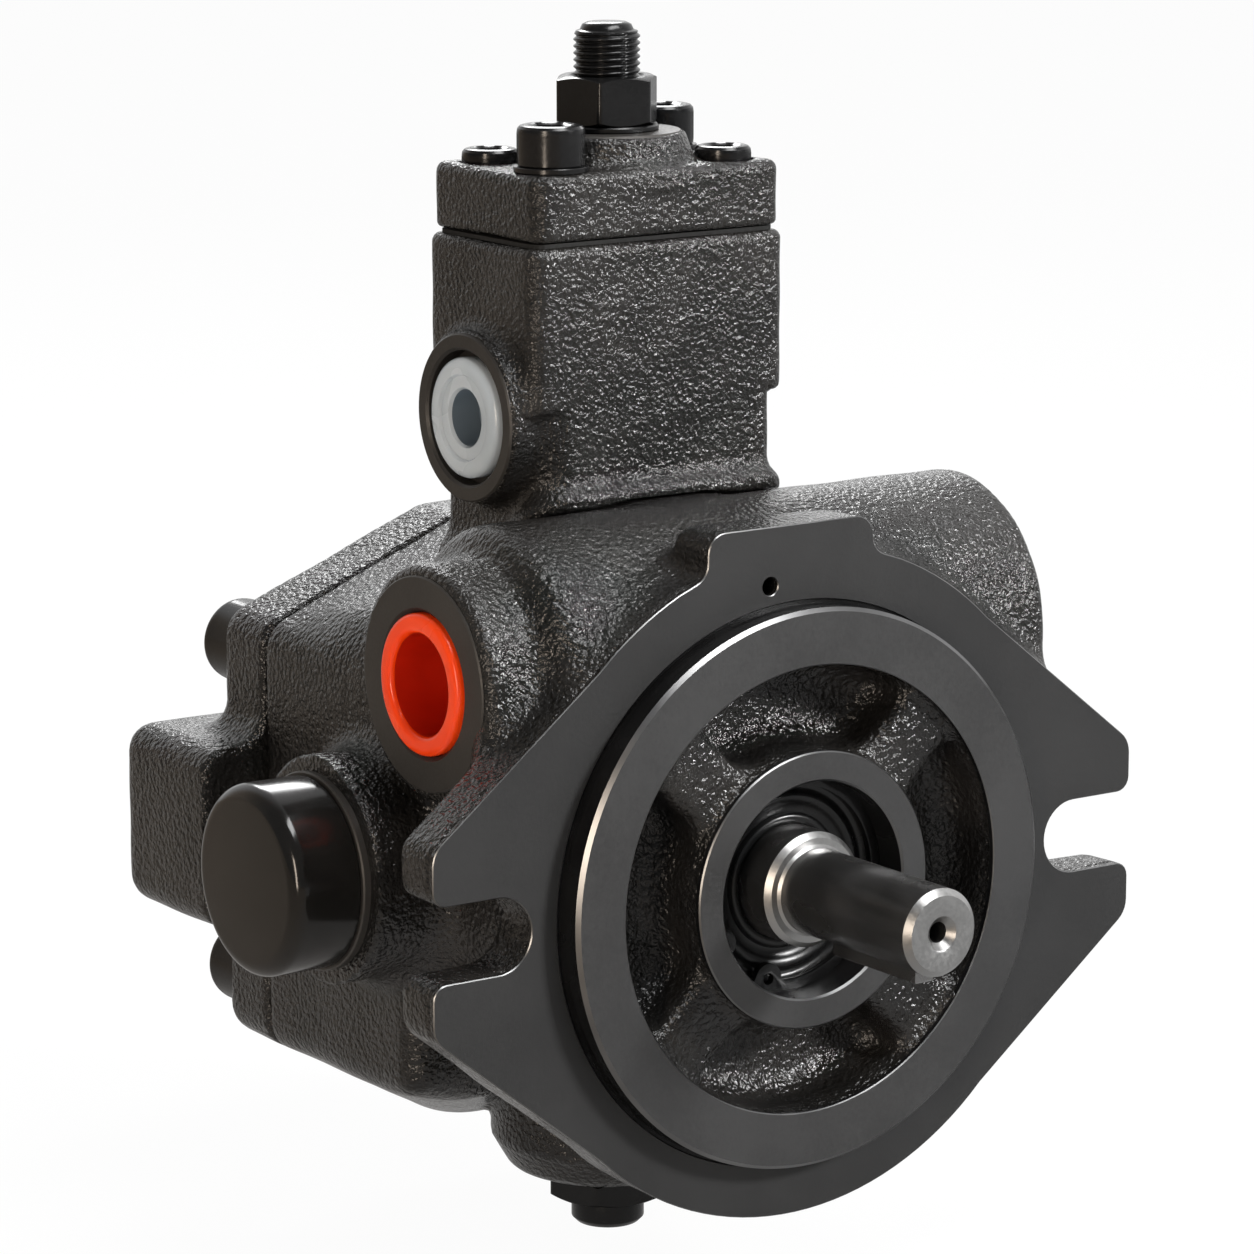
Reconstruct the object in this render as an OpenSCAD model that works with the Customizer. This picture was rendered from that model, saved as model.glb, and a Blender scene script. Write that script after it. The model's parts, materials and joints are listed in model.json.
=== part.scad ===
// Variable displacement vane pump with a two bolt flange.
// The shaft axis is Y, the flange mounting face is y = 0 and +Z is up.

/* [Pilot and hub] */
// Diameter of the locating pilot
pilot_d = 82.55; // [78:0.05:90]
// Height of the pilot in front of the flange face
pilot_h = 4.2; // [3:0.1:7]
// Chamfer on the pilot's rim
pilot_chamfer = 0.8; // [0.3:0.1:1.2]
// Inside diameter of the pilot ring
pilot_inner_d = 66; // [62:0.5:70]
// Diameter of the hub round the shaft seal
hub_d = 40.8; // [38:0.2:44]
// Depth of the cast pockets behind the pilot face
pocket_depth = 10.5; // [6:0.5:12]
// Width of the four cast ribs between the pockets
pocket_rib_w = 9; // [6:0.5:12]
// Depth of the relief groove in the flange face round the pilot
relief_depth = 0.5; // [0.2:0.1:1]
// Width of the relief groove
relief_w = 1.4; // [0.8:0.1:2]

/* [Flange] */
// Thickness of the flange
flange_t = 10; // [8:0.5:14]
// Radius of the round middle of the flange
flange_r = 49.5; // [48:0.5:52]
// Half width of the flange across its ears
ear_half_w = 62.5; // [60:0.5:66]
// Slope of the ears' long edges, in degrees
ear_slope = 38.4; // [36:0.2:44]
// Distance between the centres of the two slots' round ends
slot_span = 103.4; // [101:0.2:106]
// Width of the mounting slots
slot_w = 11.1; // [10:0.1:12]
// Radius of the ears' outer corners
ear_corner_r = 4; // [3:0.5:6]
// Radius of the slots' mouth corners
slot_corner_r = 2.2; // [1:0.2:3]
// Width of the tab on top of the flange
tab_w = 29.3; // [26:0.5:32]
// Distance of the tab's middle from the shaft axis, to the left
tab_shift = 1.35; // [0:0.05:2]
// Height of the tab's top edge above the shaft axis
tab_top = 53; // [51:0.5:56]
// Radius of the tab's corners
tab_corner_r = 3; // [2:0.5:4]
// Diameter of the small drilled hole in the tab
vent_d = 2.65; // [2:0.05:4]
// Depth of the small drilled hole
vent_depth = 7; // [4:0.5:9]
// Place of the small drilled hole across the flange
vent_x = -5.1; // [-7:0.1:-3]
// Height of the small drilled hole above the shaft axis
vent_z = 44.4; // [44:0.1:47]

/* [Body casting] */
// Distance from the flange face to the adjusting axis
adjust_y = 48.2; // [47:0.1:50]
// Distance from the adjusting axis to the rear joint
rear_len = 31.8; // [30:0.2:34]
// Wall of the body beside the cavity at the rear joint
side_wall = 8.3; // [7.5:0.1:10]
// Height of the body's flat top at the rear joint
body_top = 43.2; // [42:0.2:46]
// Half width of the flat top at the rear joint
body_top_half_w = 6; // [4:0.5:8]
// Height at which the upper slope meets the body's side
body_shoulder = 29.2; // [27:0.2:31]
// Depth below the shaft axis at which the lower slope meets the side
body_hip = 35.2; // [32:0.2:36]
// Depth of the body's flat bottom
body_bottom = 50.6; // [48:0.2:51]
// Half width of the flat bottom
body_bottom_half_w = 14; // [10:1:16]
// Radius of the body's cast corners
body_corner_r = 5; // [3:0.5:7]
// Distance from the flange face to the front of the wide rear part
body_wide_y = 39; // [36:0.5:42]
// Wall of the neck between the flange and the wide part
neck_wall = 6.5; // [5:0.5:8]
// Rise of the sloping top from the rear joint to its front end
top_rise = 8; // [6:0.2:10]
// Distance from the flange face to the sloping top's front end
top_front_y = 30; // [26:1:34]
// Room round the cam ring in the cavity, past its travel
cavity_room = 1.5; // [1:0.1:2]

/* [Ports] */
// Distance of the port gallery's axis behind the flange face
gallery_y = 25; // [24:0.2:26]
// Height of the port gallery's axis
gallery_z = 31; // [30:0.2:32]
// Radius of the port gallery
gallery_r = 21.5; // [20.5:0.1:22.5]
// Distance from the middle to the gallery's left shoulder
gallery_left = 38; // [36:0.5:40]
// Distance from the middle to the inlet face on the right
inlet_face = 49; // [47:0.5:51]
// Distance from the middle to the outlet face on the left
outlet_face = 48; // [46:0.5:50]
// Diameter of the outlet boss at its root
outlet_root_d = 35; // [33:0.5:37]
// Diameter of the outlet port, over its thread
outlet_d = 20.9; // [20.4:0.1:21.4]
// Diameter of the inlet port, over its thread
inlet_d = 26.4; // [25.8:0.1:27]
// Depth of the two ports
port_depth = 19.5; // [18:0.5:19.5]
// Diameter of the drilled ways behind the two ports
port_way_d = 9; // [8:0.2:9.6]
// Diameter of the passages from the ports to the plates
passage_d = 7; // [6:0.5:8]
// Distance of the passages from the middle
passage_x = 21; // [20.5:0.1:21.5]
// Height of the passages where they meet the front plate
passage_z = 12.5; // [12:0.1:13]
// Diameter of the drain boss on the spring housing
drain_face_d = 25.8; // [25:0.1:27]
// Distance from the middle to the drain face
drain_face = 25.6; // [25:0.1:26.4]
// Diameter of the drain port's wide mouth
drain_mouth_d = 20; // [19.4:0.1:20.6]
// Depth of the drain port's wide mouth
drain_mouth_depth = 3; // [2:0.2:4]
// Diameter of the drain port, over its thread
drain_d = 13.2; // [12.8:0.1:13.8]
// Depth of the drain port from its face
drain_depth = 6.6; // [6:0.1:6.8]
// Height of the drain port
drain_z = 64.2; // [63:0.2:65]
// Diameter of the drilled way from the drain port to the spring
drain_way_d = 3; // [2:0.5:4]

/* [Spring housing and cover] */
// Half width of the spring housing
housing_half_w = 22.7; // [21:0.1:24]
// Half depth of the spring housing
housing_half_d = 14.3; // [13.4:0.05:15]
// Height of the housing's top face
housing_top = 90.1; // [88:0.1:92]
// Height at which the housing narrows to its foot
foot_top = 66; // [64:0.5:68]
// Half width of the housing's foot
foot_half_w = 20.5; // [19.4:0.1:21]
// Step from the housing's rear face to its foot's
foot_step = 1; // [0.6:0.1:1.2]
// Height of the machined seat below the foot
seat_z = 43.4; // [43:0.1:44]
// Radius of the housing's cast corners
housing_corner_r = 2.5; // [1.5:0.1:3]
// Thickness of the gasket under the foot
foot_gasket_t = 0.4; // [0.2:0.1:0.6]
// Thickness of the gasket under the spring cover
cover_gasket_t = 0.6; // [0.4:0.1:0.8]
// Thickness of the spring cover
cover_t = 9.9; // [9:0.1:11]
// Half width of the spring cover
cover_half_w = 22.2; // [21:0.1:23]
// Half depth of the spring cover
cover_half_d = 13.75; // [12.6:0.05:14.4]
// Radius of the boss on the cover at its top
boss_r = 11.4; // [11:0.1:12]
// Radius of the boss on the cover at its root
boss_root_r = 13; // [12.4:0.1:13.2]
// Height of the boss on the cover
boss_h = 4.5; // [4:0.1:5]
// Distance of the cover screws from the adjusting axis, across
screw_x = 15.4; // [15.2:0.1:15.6]
// Distance of the cover screws from the adjusting axis, front to back
screw_y = 8; // [7.8:0.1:8.2]

/* [Fasteners] */
// Thread diameter of the long cover screws
long_screw_d = 6; // [5.6:0.1:6.2]
// Head diameter of the long cover screws
long_head_d = 10; // [9.6:0.1:10.4]
// Head height of the long cover screws
long_head_h = 6; // [5:0.1:7]
// Length of the long cover screws below the head
long_screw_len = 66; // [64:0.5:67]
// Thread diameter of the short cover screws
short_screw_d = 5; // [4.6:0.1:5.4]
// Head diameter of the short cover screws
short_head_d = 8.5; // [8:0.1:9]
// Head height of the short cover screws
short_head_h = 5; // [4:0.1:5.4]
// Height of the short screws' heads above the cover
short_head_proud = 2; // [1.5:0.1:2.5]
// Length of the short cover screws below the head
short_screw_len = 20; // [16:0.5:22]
// Outside diameter of the washers under the long screws' heads
washer_d = 11; // [10.6:0.1:11.4]
// Thickness of the washers under the long screws' heads
washer_t = 0.8; // [0.6:0.1:1]
// Thread diameter of the rear cover screws
rear_screw_d = 8; // [7.6:0.1:8.4]
// Head diameter of the rear cover screws
rear_head_d = 13; // [12.4:0.1:13.6]
// Head height of the rear cover screws
rear_head_h = 8; // [7:0.1:9]
// Length of the rear cover screws below the head
rear_screw_len = 28; // [26:0.5:30]
// Distance of the rear cover screws from the middle
rear_screw_x = 33.4; // [33:0.1:34]
// Height of the two upper rear cover screws
rear_screw_upper_z = 23.2; // [22.6:0.2:24]
// Depth of the two lower rear cover screws
rear_screw_lower_z = 28.3; // [27.5:0.2:29]

/* [Rear cover] */
// Thickness of the rear cover's plate
plate_t = 13; // [12:0.2:14]
// Distance from the middle to the left end of the cast box
box_left = 52; // [49:0.5:53]
// Distance from the middle to the right end of the cast box
box_right = 24; // [22:0.5:26]
// Depth of the cast box behind the rear joint
box_depth = 26.5; // [24:0.5:27]
// Height of the cast box's top at its left end
box_top = 11.4; // [10.5:0.1:12.5]
// Depth of the cast box's bottom below the shaft axis
box_bottom = 17; // [16:0.5:18]
// Radius of the cast box's corners
box_corner_r = 4.5; // [3:0.5:5.5]
// Diameter of the cast boss over the rear bush
rear_boss_d = 40; // [38:0.5:42]

/* [Shaft line] */
// Diameter of the drive end of the shaft
drive_d = 12.7; // [12:0.1:13.4]
// Distance from the flange face to the shaft's tip
drive_tip = 33.8; // [32:0.1:36]
// Diameter of the seal and bearing journal
journal_d = 17; // [16.8:0.02:17.1]
// Distance from the flange face to the journal's front step
journal_front = 4.2; // [3.8:0.1:5]
// Diameter of the shaft in the rotor
rotor_seat_d = 16; // [15.4:0.1:16.2]
// Diameter of the rear journal
rear_journal_d = 14; // [13.4:0.1:14.4]
// Length of the shaft behind the rear joint
shaft_rear_len = 6; // [4:0.5:8]
// Chamfer on the shaft's tip
tip_chamfer = 1; // [0.5:0.1:1.4]
// Diameter of the centre hole in the shaft's tip
centre_d = 3.4; // [3:0.1:4]
// Mouth diameter of the centre hole
centre_mouth_d = 5.4; // [5:0.1:6]
// Depth of the centre hole
centre_depth = 9; // [6:0.5:12]
// Width and height of the drive key
key_w = 3.175; // [3:0.005:3.3]
// Length of the drive key
key_len = 19; // [16:0.5:20]
// Distance from the shaft's tip to the drive key
key_setback = 4; // [3:0.2:5]
// Bore of the hub for the shaft seal
seal_d = 32; // [31.4:0.1:32.6]
// Width of the shaft seal
seal_w = 7; // [6.4:0.1:7.4]
// Distance from the flange face to the shaft seal
seal_y = 2.4; // [2:0.1:2.6]
// Thickness of the seal's circlip
circlip_t = 1.2; // [1:0.1:1.4]
// Outside diameter of the front bearing
bearing_d = 35; // [34.8:0.1:35.2]
// Width of the front bearing
bearing_w = 10; // [9.8:0.1:10.2]
// Distance from the flange face to the front bearing
bearing_y = 14; // [13.8:0.1:14.2]
// Diameter of the bearing's balls
ball_d = 4.7; // [4.5:0.1:4.8]
// Number of balls
ball_count = 10; // [8:1:10]
// Outside diameter of the rear bush
bush_d = 18; // [17.4:0.1:18.6]
// Length of the rear bush
bush_len = 18; // [16:0.5:19]

/* [Pumping parts] */
// Diameter of the rotor
rotor_d = 40; // [39:0.1:40.4]
// Width of the rotor
rotor_w = 19.6; // [19.4:0.02:19.7]
// Number of vanes
vane_count = 12; // [8:1:12]
// Thickness of the vanes
vane_t = 1.9; // [1.7:0.1:2]
// Height of the vanes
vane_h = 8.4; // [7.6:0.1:8.6]
// Distance the vane tips stand out of the rotor
vane_out = 1.2; // [0.8:0.1:1.3]
// Wall of the cam ring
ring_wall = 6; // [5:0.2:7]
// Width of the cam ring
ring_w = 19.8; // [19.78:0.01:19.86]
// Depth of the flats on the ring's outside
flat_depth = 1; // [0.6:0.1:1.4]
// Offset of the ring below the shaft axis at full flow
ring_offset = 2; // [1.8:0.1:2.1]
// Thickness of the port plates
port_plate_t = 8; // [7.8:0.05:8.1]
// Width of the kidney ports
kidney_w = 5; // [4:0.2:5.4]
// Half of the angle that a kidney port covers, in degrees
kidney_half_angle = 48; // [40:1:52]

/* [Pressure adjuster] */
// Diameter of the pressure screw
pressure_screw_d = 10; // [9.6:0.1:10.4]
// Height of the pressure screw's top
top_screw_end = 121; // [118:0.5:124]
// Width across flats of the pressure lock nut
pressure_nut_af = 14; // [13.6:0.1:15]
// Height of the pressure lock nut
pressure_nut_h = 7.2; // [6.6:0.1:8]
// Diameter of the seal washer under the nut
pressure_washer_d = 15.4; // [14.6:0.1:16]
// Thickness of the seal washers
seal_washer_t = 0.9; // [0.6:0.1:1.2]
// Turn of the pressure nut about its axis, in degrees
pressure_nut_turn = 25; // [0:1:59]
// Diameter of the spring's bore in the housing
spring_bore_d = 21; // [20.6:0.1:21.4]
// Outside diameter of the pressure spring
spring_d = 19; // [18:0.1:19.4]
// Wire diameter of the pressure spring
spring_wire_d = 2.6; // [2:0.1:3]
// Number of turns of the pressure spring
spring_turns = 7; // [5:1:8]
// Diameter of the pressure piston
piston_d = 16; // [15:0.1:16.6]
// Height of the piston's spring flange above the shaft axis
piston_flange_z = 47; // [46.6:0.1:47.4]
// Thickness of the two spring seats
spring_seat_t = 3.4; // [3:0.1:4]
// Height of the upper spring seat's lower face
upper_seat_z = 80; // [78:0.5:82]

/* [Flow and thrust adjusters] */
// Diameter of the flow and thrust screws
side_screw_d = 12; // [11.6:0.1:12.4]
// Diameter of the flow screw's plain end
flow_end_d = 11.2; // [10.8:0.1:11.4]
// Distance of the flow screw's lower end below the shaft axis
flow_screw_end = 63.3; // [62:0.1:65]
// Radius of the bottom boss at its root
bottom_boss_root_r = 17.7; // [17:0.1:18.5]
// Radius of the bottom boss at its face
bottom_boss_r = 14.6; // [14:0.1:15.5]
// Depth of the bottom boss's face
bottom_boss_z = 54; // [53:0.2:55]
// Width across flats of the flow lock nut
flow_nut_af = 16.4; // [16:0.1:17]
// Height of the flow lock nut
flow_nut_h = 4.2; // [3.8:0.1:5]
// Turn of the flow nut about its axis, in degrees
flow_nut_turn = 3; // [0:1:59]
// Diameter of the pads at the screws' inner ends
pad_d = 8; // [7:0.1:9]
// Thickness of the flow pad
flow_pad_t = 1.6; // [1.4:0.1:1.8]
// Thickness of the thrust pad
thrust_pad_t = 2.4; // [2:0.1:2.6]
// Diameter of the thrust pad
thrust_pad_d = 14; // [13:0.2:15]
// Distance from the middle to the thrust boss's face
thrust_boss_x = 51.6; // [51:0.1:52.4]
// Radius of the thrust boss
thrust_boss_r = 17; // [16.5:0.1:18]
// Height of the adjusting axis's side screw, against the shaft axis
thrust_z = -0.4; // [-0.8:0.1:0]
// Distance from the middle to the thrust screw's outer end
thrust_screw_end = 61; // [60.5:0.1:61.5]
// Width across flats of the thrust lock nut
thrust_nut_af = 19; // [18:0.1:20]
// Height of the thrust lock nut
thrust_nut_h = 4.2; // [3.8:0.1:4.4]
// Outside diameter of the thrust cap
cap_d = 28.5; // [27.5:0.1:29.5]
// Distance from the middle to the thrust cap's face
cap_face_x = 64; // [63.4:0.1:65]
// Wall of the thrust cap
cap_wall = 1.4; // [1.2:0.1:1.6]
// Radius of the cap's outer edge
cap_edge_r = 3; // [2:0.5:4]
// Height of the collar behind the cap
collar_h = 1.2; // [0.8:0.1:1.4]
// Distance that the collar stands out round the cap
collar_step = 0.5; // [0.3:0.1:0.8]
// Length of the spigot that holds the cap
cap_spigot = 1.6; // [1.2:0.1:1.8]

/* [Transit plugs] */
// Outside diameter of the outlet plug's rim
outlet_plug_d = 20.6; // [20:0.1:20.7]
// Inside diameter of the outlet plug's cup
outlet_cup_d = 14.9; // [14:0.1:16]
// Distance the outlet plug stands out of its port
outlet_plug_proud = 0.8; // [0.5:0.1:1.5]
// Depth of the outlet plug's cup
outlet_cup_depth = 13; // [10:0.5:15]
// Outside diameter of the drain plug's rim
drain_plug_d = 17.9; // [17.4:0.1:18.4]
// Diameter of the ring on the drain plug's face
drain_ring_d = 13.6; // [13:0.1:14.4]
// Inside diameter of the drain plug's cup
drain_cup_d = 9.2; // [8.4:0.1:10]
// Depth of the drain plug's cup
drain_cup_depth = 5.4; // [4:0.1:5.6]
// Distance the drain plug stands out of its port
drain_plug_proud = 0.4; // [0.2:0.1:0.8]
// Wall of the plugs' floors
plug_floor = 1.5; // [1:0.1:2]

/* [Clearances] */
// Radial running clearance of turning and sliding fits
fit_gap = 0.05; // [0.02:0.01:0.09]
// Radial gap of parts that are fitted and stay put
seat_gap = 0.03; // [0.01:0.01:0.05]
// Gap round the housing's foot in its machined seat
foot_gap = 0.3; // [0.2:0.05:0.4]
// Radial clearance of screws in their drilled holes
hole_gap = 0.3; // [0.2:0.05:0.35]

/* [Hidden] */
$fn = 72;
// Overrun of cuts past the faces that they open, and of solids into each other
cut = 0.5;
// Steps of a rounded corner in an outline
corner_steps = 5;
// Sides of a hexagon
hex_sides = 6;
// Gap between the ring or the rotor and each port plate
end_gap = 0.1;
// Room past the vanes' tips on the ring's near side
tip_gap = 0.3;
// Radial gap round the port plates
plate_gap = 0.3;
// Gap between the rear port plate and the rear cover
spigot_gap = 0.2;
// Distance that the ears' sloped edges run inside the flange's round edge
ear_line_step = 0.25;
// Distance that the ribs between the pockets stay behind the pilot face
rib_drop = 1.5;
// Wall of the web between the shaft seal and the front bearing
web_bore_d = 26;
// Radii of the rounded ends of the gallery and the outlet boss
gallery_round = 4;
boss_round = 2.5;
// Radius of the small roundings at the bottom boss
boss_edge_r = 1.2;
// Depth of the circlip grooves
groove_depth = 0.9;
// Radial width of the circlips
circlip_w = 3.2;
// Half of the angle of the circlip's gap, and the middle of the gap
circlip_gap = 12;
circlip_angle = 232;
// Eye of the circlip: outer and inner radius
eye_r = 2.3;
eye_hole_r = 0.9;
// O-ring: section and groove width
o_ring_d = 2.4;
o_ring_groove_w = 3.2;
// Dowels of the port plates: diameter, length, distance from the axis and angle
dowel_d = 4;
dowel_len = 8;
dowel_r = 28.4;
dowel_angle = -62;
// Key between shaft and rotor: width and length
rotor_key_w = 4;
rotor_key_len = 14;
// Socket of the cap screws as shares of the head: across flats and depth
socket_shares = [0.6, 0.5];
// Hexagon socket in the ends of the adjusting screws: across flats and depth as shares of the diameter
screw_socket_shares = [0.5, 0.5];
// Race shoulders of the front bearing as shares of its radial space
race_shares = [0.27, 0.73];
// Cage of the front bearing: wall and width as shares of the ball
cage_shares = [0.3, 1.2];
// Points of the shaft seal's section as shares of its radial height and its width
seal_shares = [[1, 0], [1, 1], [0.84, 1], [0.84, 0.25], [0.36, 0.25], [0.2, 0.45], [0.2, 0.85],
    [0, 0.68], [0.04, 0.42], [0.1, 0.2], [0, 0.04], [0.14, 0]];
// Round root of the vane slots: radius as a share of the vane's thickness
slot_root_share = 0.7;
// Garter spring in the seal: place as shares of radial height and width, and section radius
garter_shares = [0.275, 0.66];
garter_r = 0.45;
// Steps round the pressure spring's coil and round its wire
coil_steps = 20;
wire_sides = 8;
// Chamfers on screws and nuts
screw_chamfer = 0.8;
// Round end faces of the lock nuts as a share of their width across flats, and their bevel
nut_face_share = 0.96;
nut_bevel_angle = 25;
// Plain point of the two side screws
point_len = 1.5;
// Depth of the blind kidneys in the rear plate
kidney_depth = 3;
// Clearance behind the vanes and round them
vane_gap = 0.05;
// Washer hole over the screw
washer_gap = 0.2;

// Places worked out from the sizes
pilot_r = pilot_d / 2;
hub_r = hub_d / 2;
seal_r = seal_d / 2;
ring_inner_d = rotor_d + (vane_out + ring_offset + tip_gap) * 2;
ring_outer_d = ring_inner_d + ring_wall * 2;
ring_flat = ring_outer_d / 2 - flat_depth;
cavity_r = ring_outer_d / 2 + ring_offset + cavity_room;
neck_r = cavity_r + neck_wall;
body_half_w = cavity_r + side_wall;
body_len = adjust_y + rear_len;
shaft_rear = body_len + shaft_rear_len;
port_plate_d = (cavity_r - plate_gap) * 2;
kidney_r = ring_inner_d / 2 - tip_gap;
journal_r = journal_d / 2;
bearing_r = bearing_d / 2;
spigot_r = cavity_r - fit_gap;
plate_rear = body_len + plate_t;
ring_front_y = adjust_y - ring_w / 2;
ring_rear_y = adjust_y + ring_w / 2;
front_plate_rear_y = ring_front_y - end_gap;
cavity_floor_y = front_plate_rear_y - port_plate_t;
rear_plate_front_y = ring_rear_y + end_gap;
rear_plate_rear_y = rear_plate_front_y + port_plate_t;
spigot_len = body_len - rear_plate_rear_y - spigot_gap;
ring_z = -ring_offset;
ear_line_r = flange_r - ear_line_step;
ear_top = ear_line_r / cos(ear_slope) - ear_half_w * tan(ear_slope);
foot_base = seat_z + foot_gasket_t;
cover_base = housing_top + cover_gasket_t;
cover_top = cover_base + cover_t;
boss_top = cover_top + boss_h;
washer_top = boss_top + seal_washer_t;
piston_base = ring_z + ring_flat;
piston_top = piston_flange_z + spring_seat_t;
upper_seat_top = upper_seat_z + spring_seat_t;
cap_inner_r = cap_d / 2 - cap_wall;
collar_x = thrust_boss_x + collar_h;
cap_spigot_x = collar_x + cap_spigot;
thrust_washer_x = cap_spigot_x + seal_washer_t;
flow_washer_z = bottom_boss_z + seal_washer_t;
ball_pitch_r = (journal_r + bearing_r) / 2;
bearing_mid_y = bearing_y + bearing_w / 2;
drain_bore_end = drain_face - drain_depth;
spring_mean_r = (spring_d - spring_wire_d) / 2;
spring_low = piston_top + spring_wire_d / 2;
spring_high = upper_seat_z - spring_wire_d / 2;
shaft_circlip_y = [bearing_y - circlip_t - fit_gap, bearing_y + bearing_w + fit_gap];
race_space = bearing_r - journal_r;
cage_wall = ball_d * cage_shares[0];
cage_w = ball_d * cage_shares[1];
seal_height = seal_r - journal_r - fit_gap;
lug_r = seal_r - circlip_w / 2;
lug_angle = circlip_gap + asin(eye_r / lug_r);
vane_root_r = rotor_d / 2 + vane_out - vane_h;
slot_root_r = vane_t * slot_root_share;
o_ring_y = body_len - o_ring_groove_w - o_ring_groove_w / 2;
rotor_front_y = adjust_y - rotor_w / 2;
rotor_rear_y = adjust_y + rotor_w / 2;
bearing_rear_y = bearing_y + bearing_w;
flow_pad_top = ring_flat - ring_z + fit_gap;
thrust_pad_x = ring_flat + fit_gap;
inlet_plug_d = inlet_d - outlet_d + outlet_plug_d;
inlet_cup_d = inlet_plug_d - outlet_plug_d + outlet_cup_d;

// Points of an arc round c
function arc(c, r, a0, a1, steps) =
    [for (i = [0:steps]) let (a = a0 + (a1 - a0) * i / steps) c + r * [cos(a), sin(a)]];
function unit(v) = v / norm(v);
function turn(a) = a > 180 ? a - 360 : a < -180 ? a + 360 : a;
// The corner p between its neighbours a and b, rounded to the radius r
function round_corner(a, p, b, r) =
    r <= 0 ? [p] :
    let (
        u = unit(a - p),
        v = unit(b - p),
        half = acos(u * v) / 2,
        c = p + unit(u + v) * r / sin(half),
        s = p + u * r / tan(half) - c,
        e = p + v * r / tan(half) - c,
        a0 = atan2(s.y, s.x)
    ) arc(c, r, a0, a0 + turn(atan2(e.y, e.x) - a0), corner_steps);
// An outline from [x, y, corner radius] points
function outline(pts) =
    let (n = len(pts)) [
        for (i = [0:n - 1])
        let (a = pts[(i + n - 1) % n], p = pts[i], b = pts[(i + 1) % n])
        each round_corner([a.x, a.y], [p.x, p.y], [b.x, b.y], p.z)
    ];
function mirrored(pts) =
    concat(pts, [for (i = [len(pts) - 1:-1:0]) [-pts[i].x, pts[i].y, pts[i].z]]);

// A round bar along Y from y0 to y1
module along_y(r, y0, y1) translate([0, y0, 0]) rotate([-90, 0, 0]) cylinder(r = r, h = y1 - y0);
// A round bar along X from x0 to x1
module along_x(r, x0, x1) translate([x0, 0, 0]) rotate([0, 90, 0]) cylinder(r = r, h = x1 - x0);
// A round bar along Z from z0 to z1
module along_z(r, z0, z1) translate([0, 0, z0]) cylinder(r = r, h = z1 - z0);
// A ring along Y
module ring_y(r1, r0, y0, y1) difference() {
    along_y(r1, y0, y1);
    along_y(r0, y0 - cut, y1 + cut);
}
// A flat shape drawn in x and z, from y0 to y1
module slab_y(y0, y1) translate([0, y1, 0]) rotate([90, 0, 0])
    linear_extrude(height = y1 - y0) children();
// A flat shape drawn in r and y, turned about the shaft axis
module lathe_y() rotate([-90, 0, 0]) rotate_extrude() children();
// A flat shape drawn in r and x, turned about an axis along X
module lathe_x() rotate([0, 90, 0]) rotate_extrude() children();
module on_adjust_axis() translate([0, adjust_y, 0]) children();
module on_gallery_axis() translate([0, gallery_y, gallery_z]) children();
module on_thrust_axis() translate([0, adjust_y, thrust_z]) children();
module on_drain_axis() translate([0, adjust_y, drain_z]) children();
// A hexagon along Z
module hex_bar(af, h, spin = 0) rotate([0, 0, spin])
    cylinder(r = af / 2 / cos(180 / hex_sides), h = h, $fn = hex_sides);
// The two long screws' places on the cover, and the two short screws' places
module long_screw_places() on_adjust_axis() for (s = [-1, 1])
    translate([s * screw_x, s * screw_y, 0]) children();
module short_screw_places() on_adjust_axis() for (s = [-1, 1])
    translate([s * screw_x, -s * screw_y, 0]) children();
module rear_screw_places() for (s = [-1, 1], z = [rear_screw_upper_z, -rear_screw_lower_z])
    translate([s * rear_screw_x, 0, z]) children();
// A socket head cap screw along Z with the underside of its head at z = 0
module cap_screw(d, head_d, head_h, len) {
    difference() {
        union() {
            cylinder(r = head_d / 2, h = head_h - screw_chamfer);
            translate([0, 0, head_h - screw_chamfer])
                cylinder(r1 = head_d / 2, r2 = head_d / 2 - screw_chamfer / 2, h = screw_chamfer);
        }
        translate([0, 0, head_h * (1 - socket_shares.y)])
            hex_bar(head_d * socket_shares.x, head_h);
    }
    translate([0, 0, -len]) cylinder(r = d / 2, h = len + cut);
}
// An adjusting screw along Z from 0 to len, with chamfered ends and a hexagon socket at the top
module adjusting_screw(d, len) difference() {
    union() {
        cylinder(r1 = d / 2 - screw_chamfer, r2 = d / 2, h = screw_chamfer);
        translate([0, 0, screw_chamfer]) cylinder(r = d / 2, h = len - screw_chamfer * 2);
        translate([0, 0, len - screw_chamfer])
            cylinder(r1 = d / 2, r2 = d / 2 - screw_chamfer, h = screw_chamfer);
    }
    translate([0, 0, len - d * screw_socket_shares.y]) hex_bar(d * screw_socket_shares.x, d);
}
// A lock nut along Z from 0 to h over a screw of the diameter d
module lock_nut(af, h, d, spin) {
    corner_r = af / 2 / cos(180 / hex_sides);
    blank_r = corner_r + cut;
    face_r = af / 2 * nut_face_share;
    bevel = (blank_r - face_r) * tan(nut_bevel_angle);
    difference() {
        intersection() {
            hex_bar(af, h, spin);
            rotate_extrude() polygon([[0, 0], [face_r, 0], [blank_r, bevel],
                [blank_r, h - bevel], [face_r, h], [0, h]]);
        }
        translate([0, 0, -cut]) cylinder(r = d / 2 + fit_gap, h = h + cut * 2);
    }
}
module seal_washer(d, bore) difference() {
    cylinder(r = d / 2, h = seal_washer_t);
    translate([0, 0, -cut]) cylinder(r = bore / 2 + fit_gap * 2, h = seal_washer_t + cut * 2);
}

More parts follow.
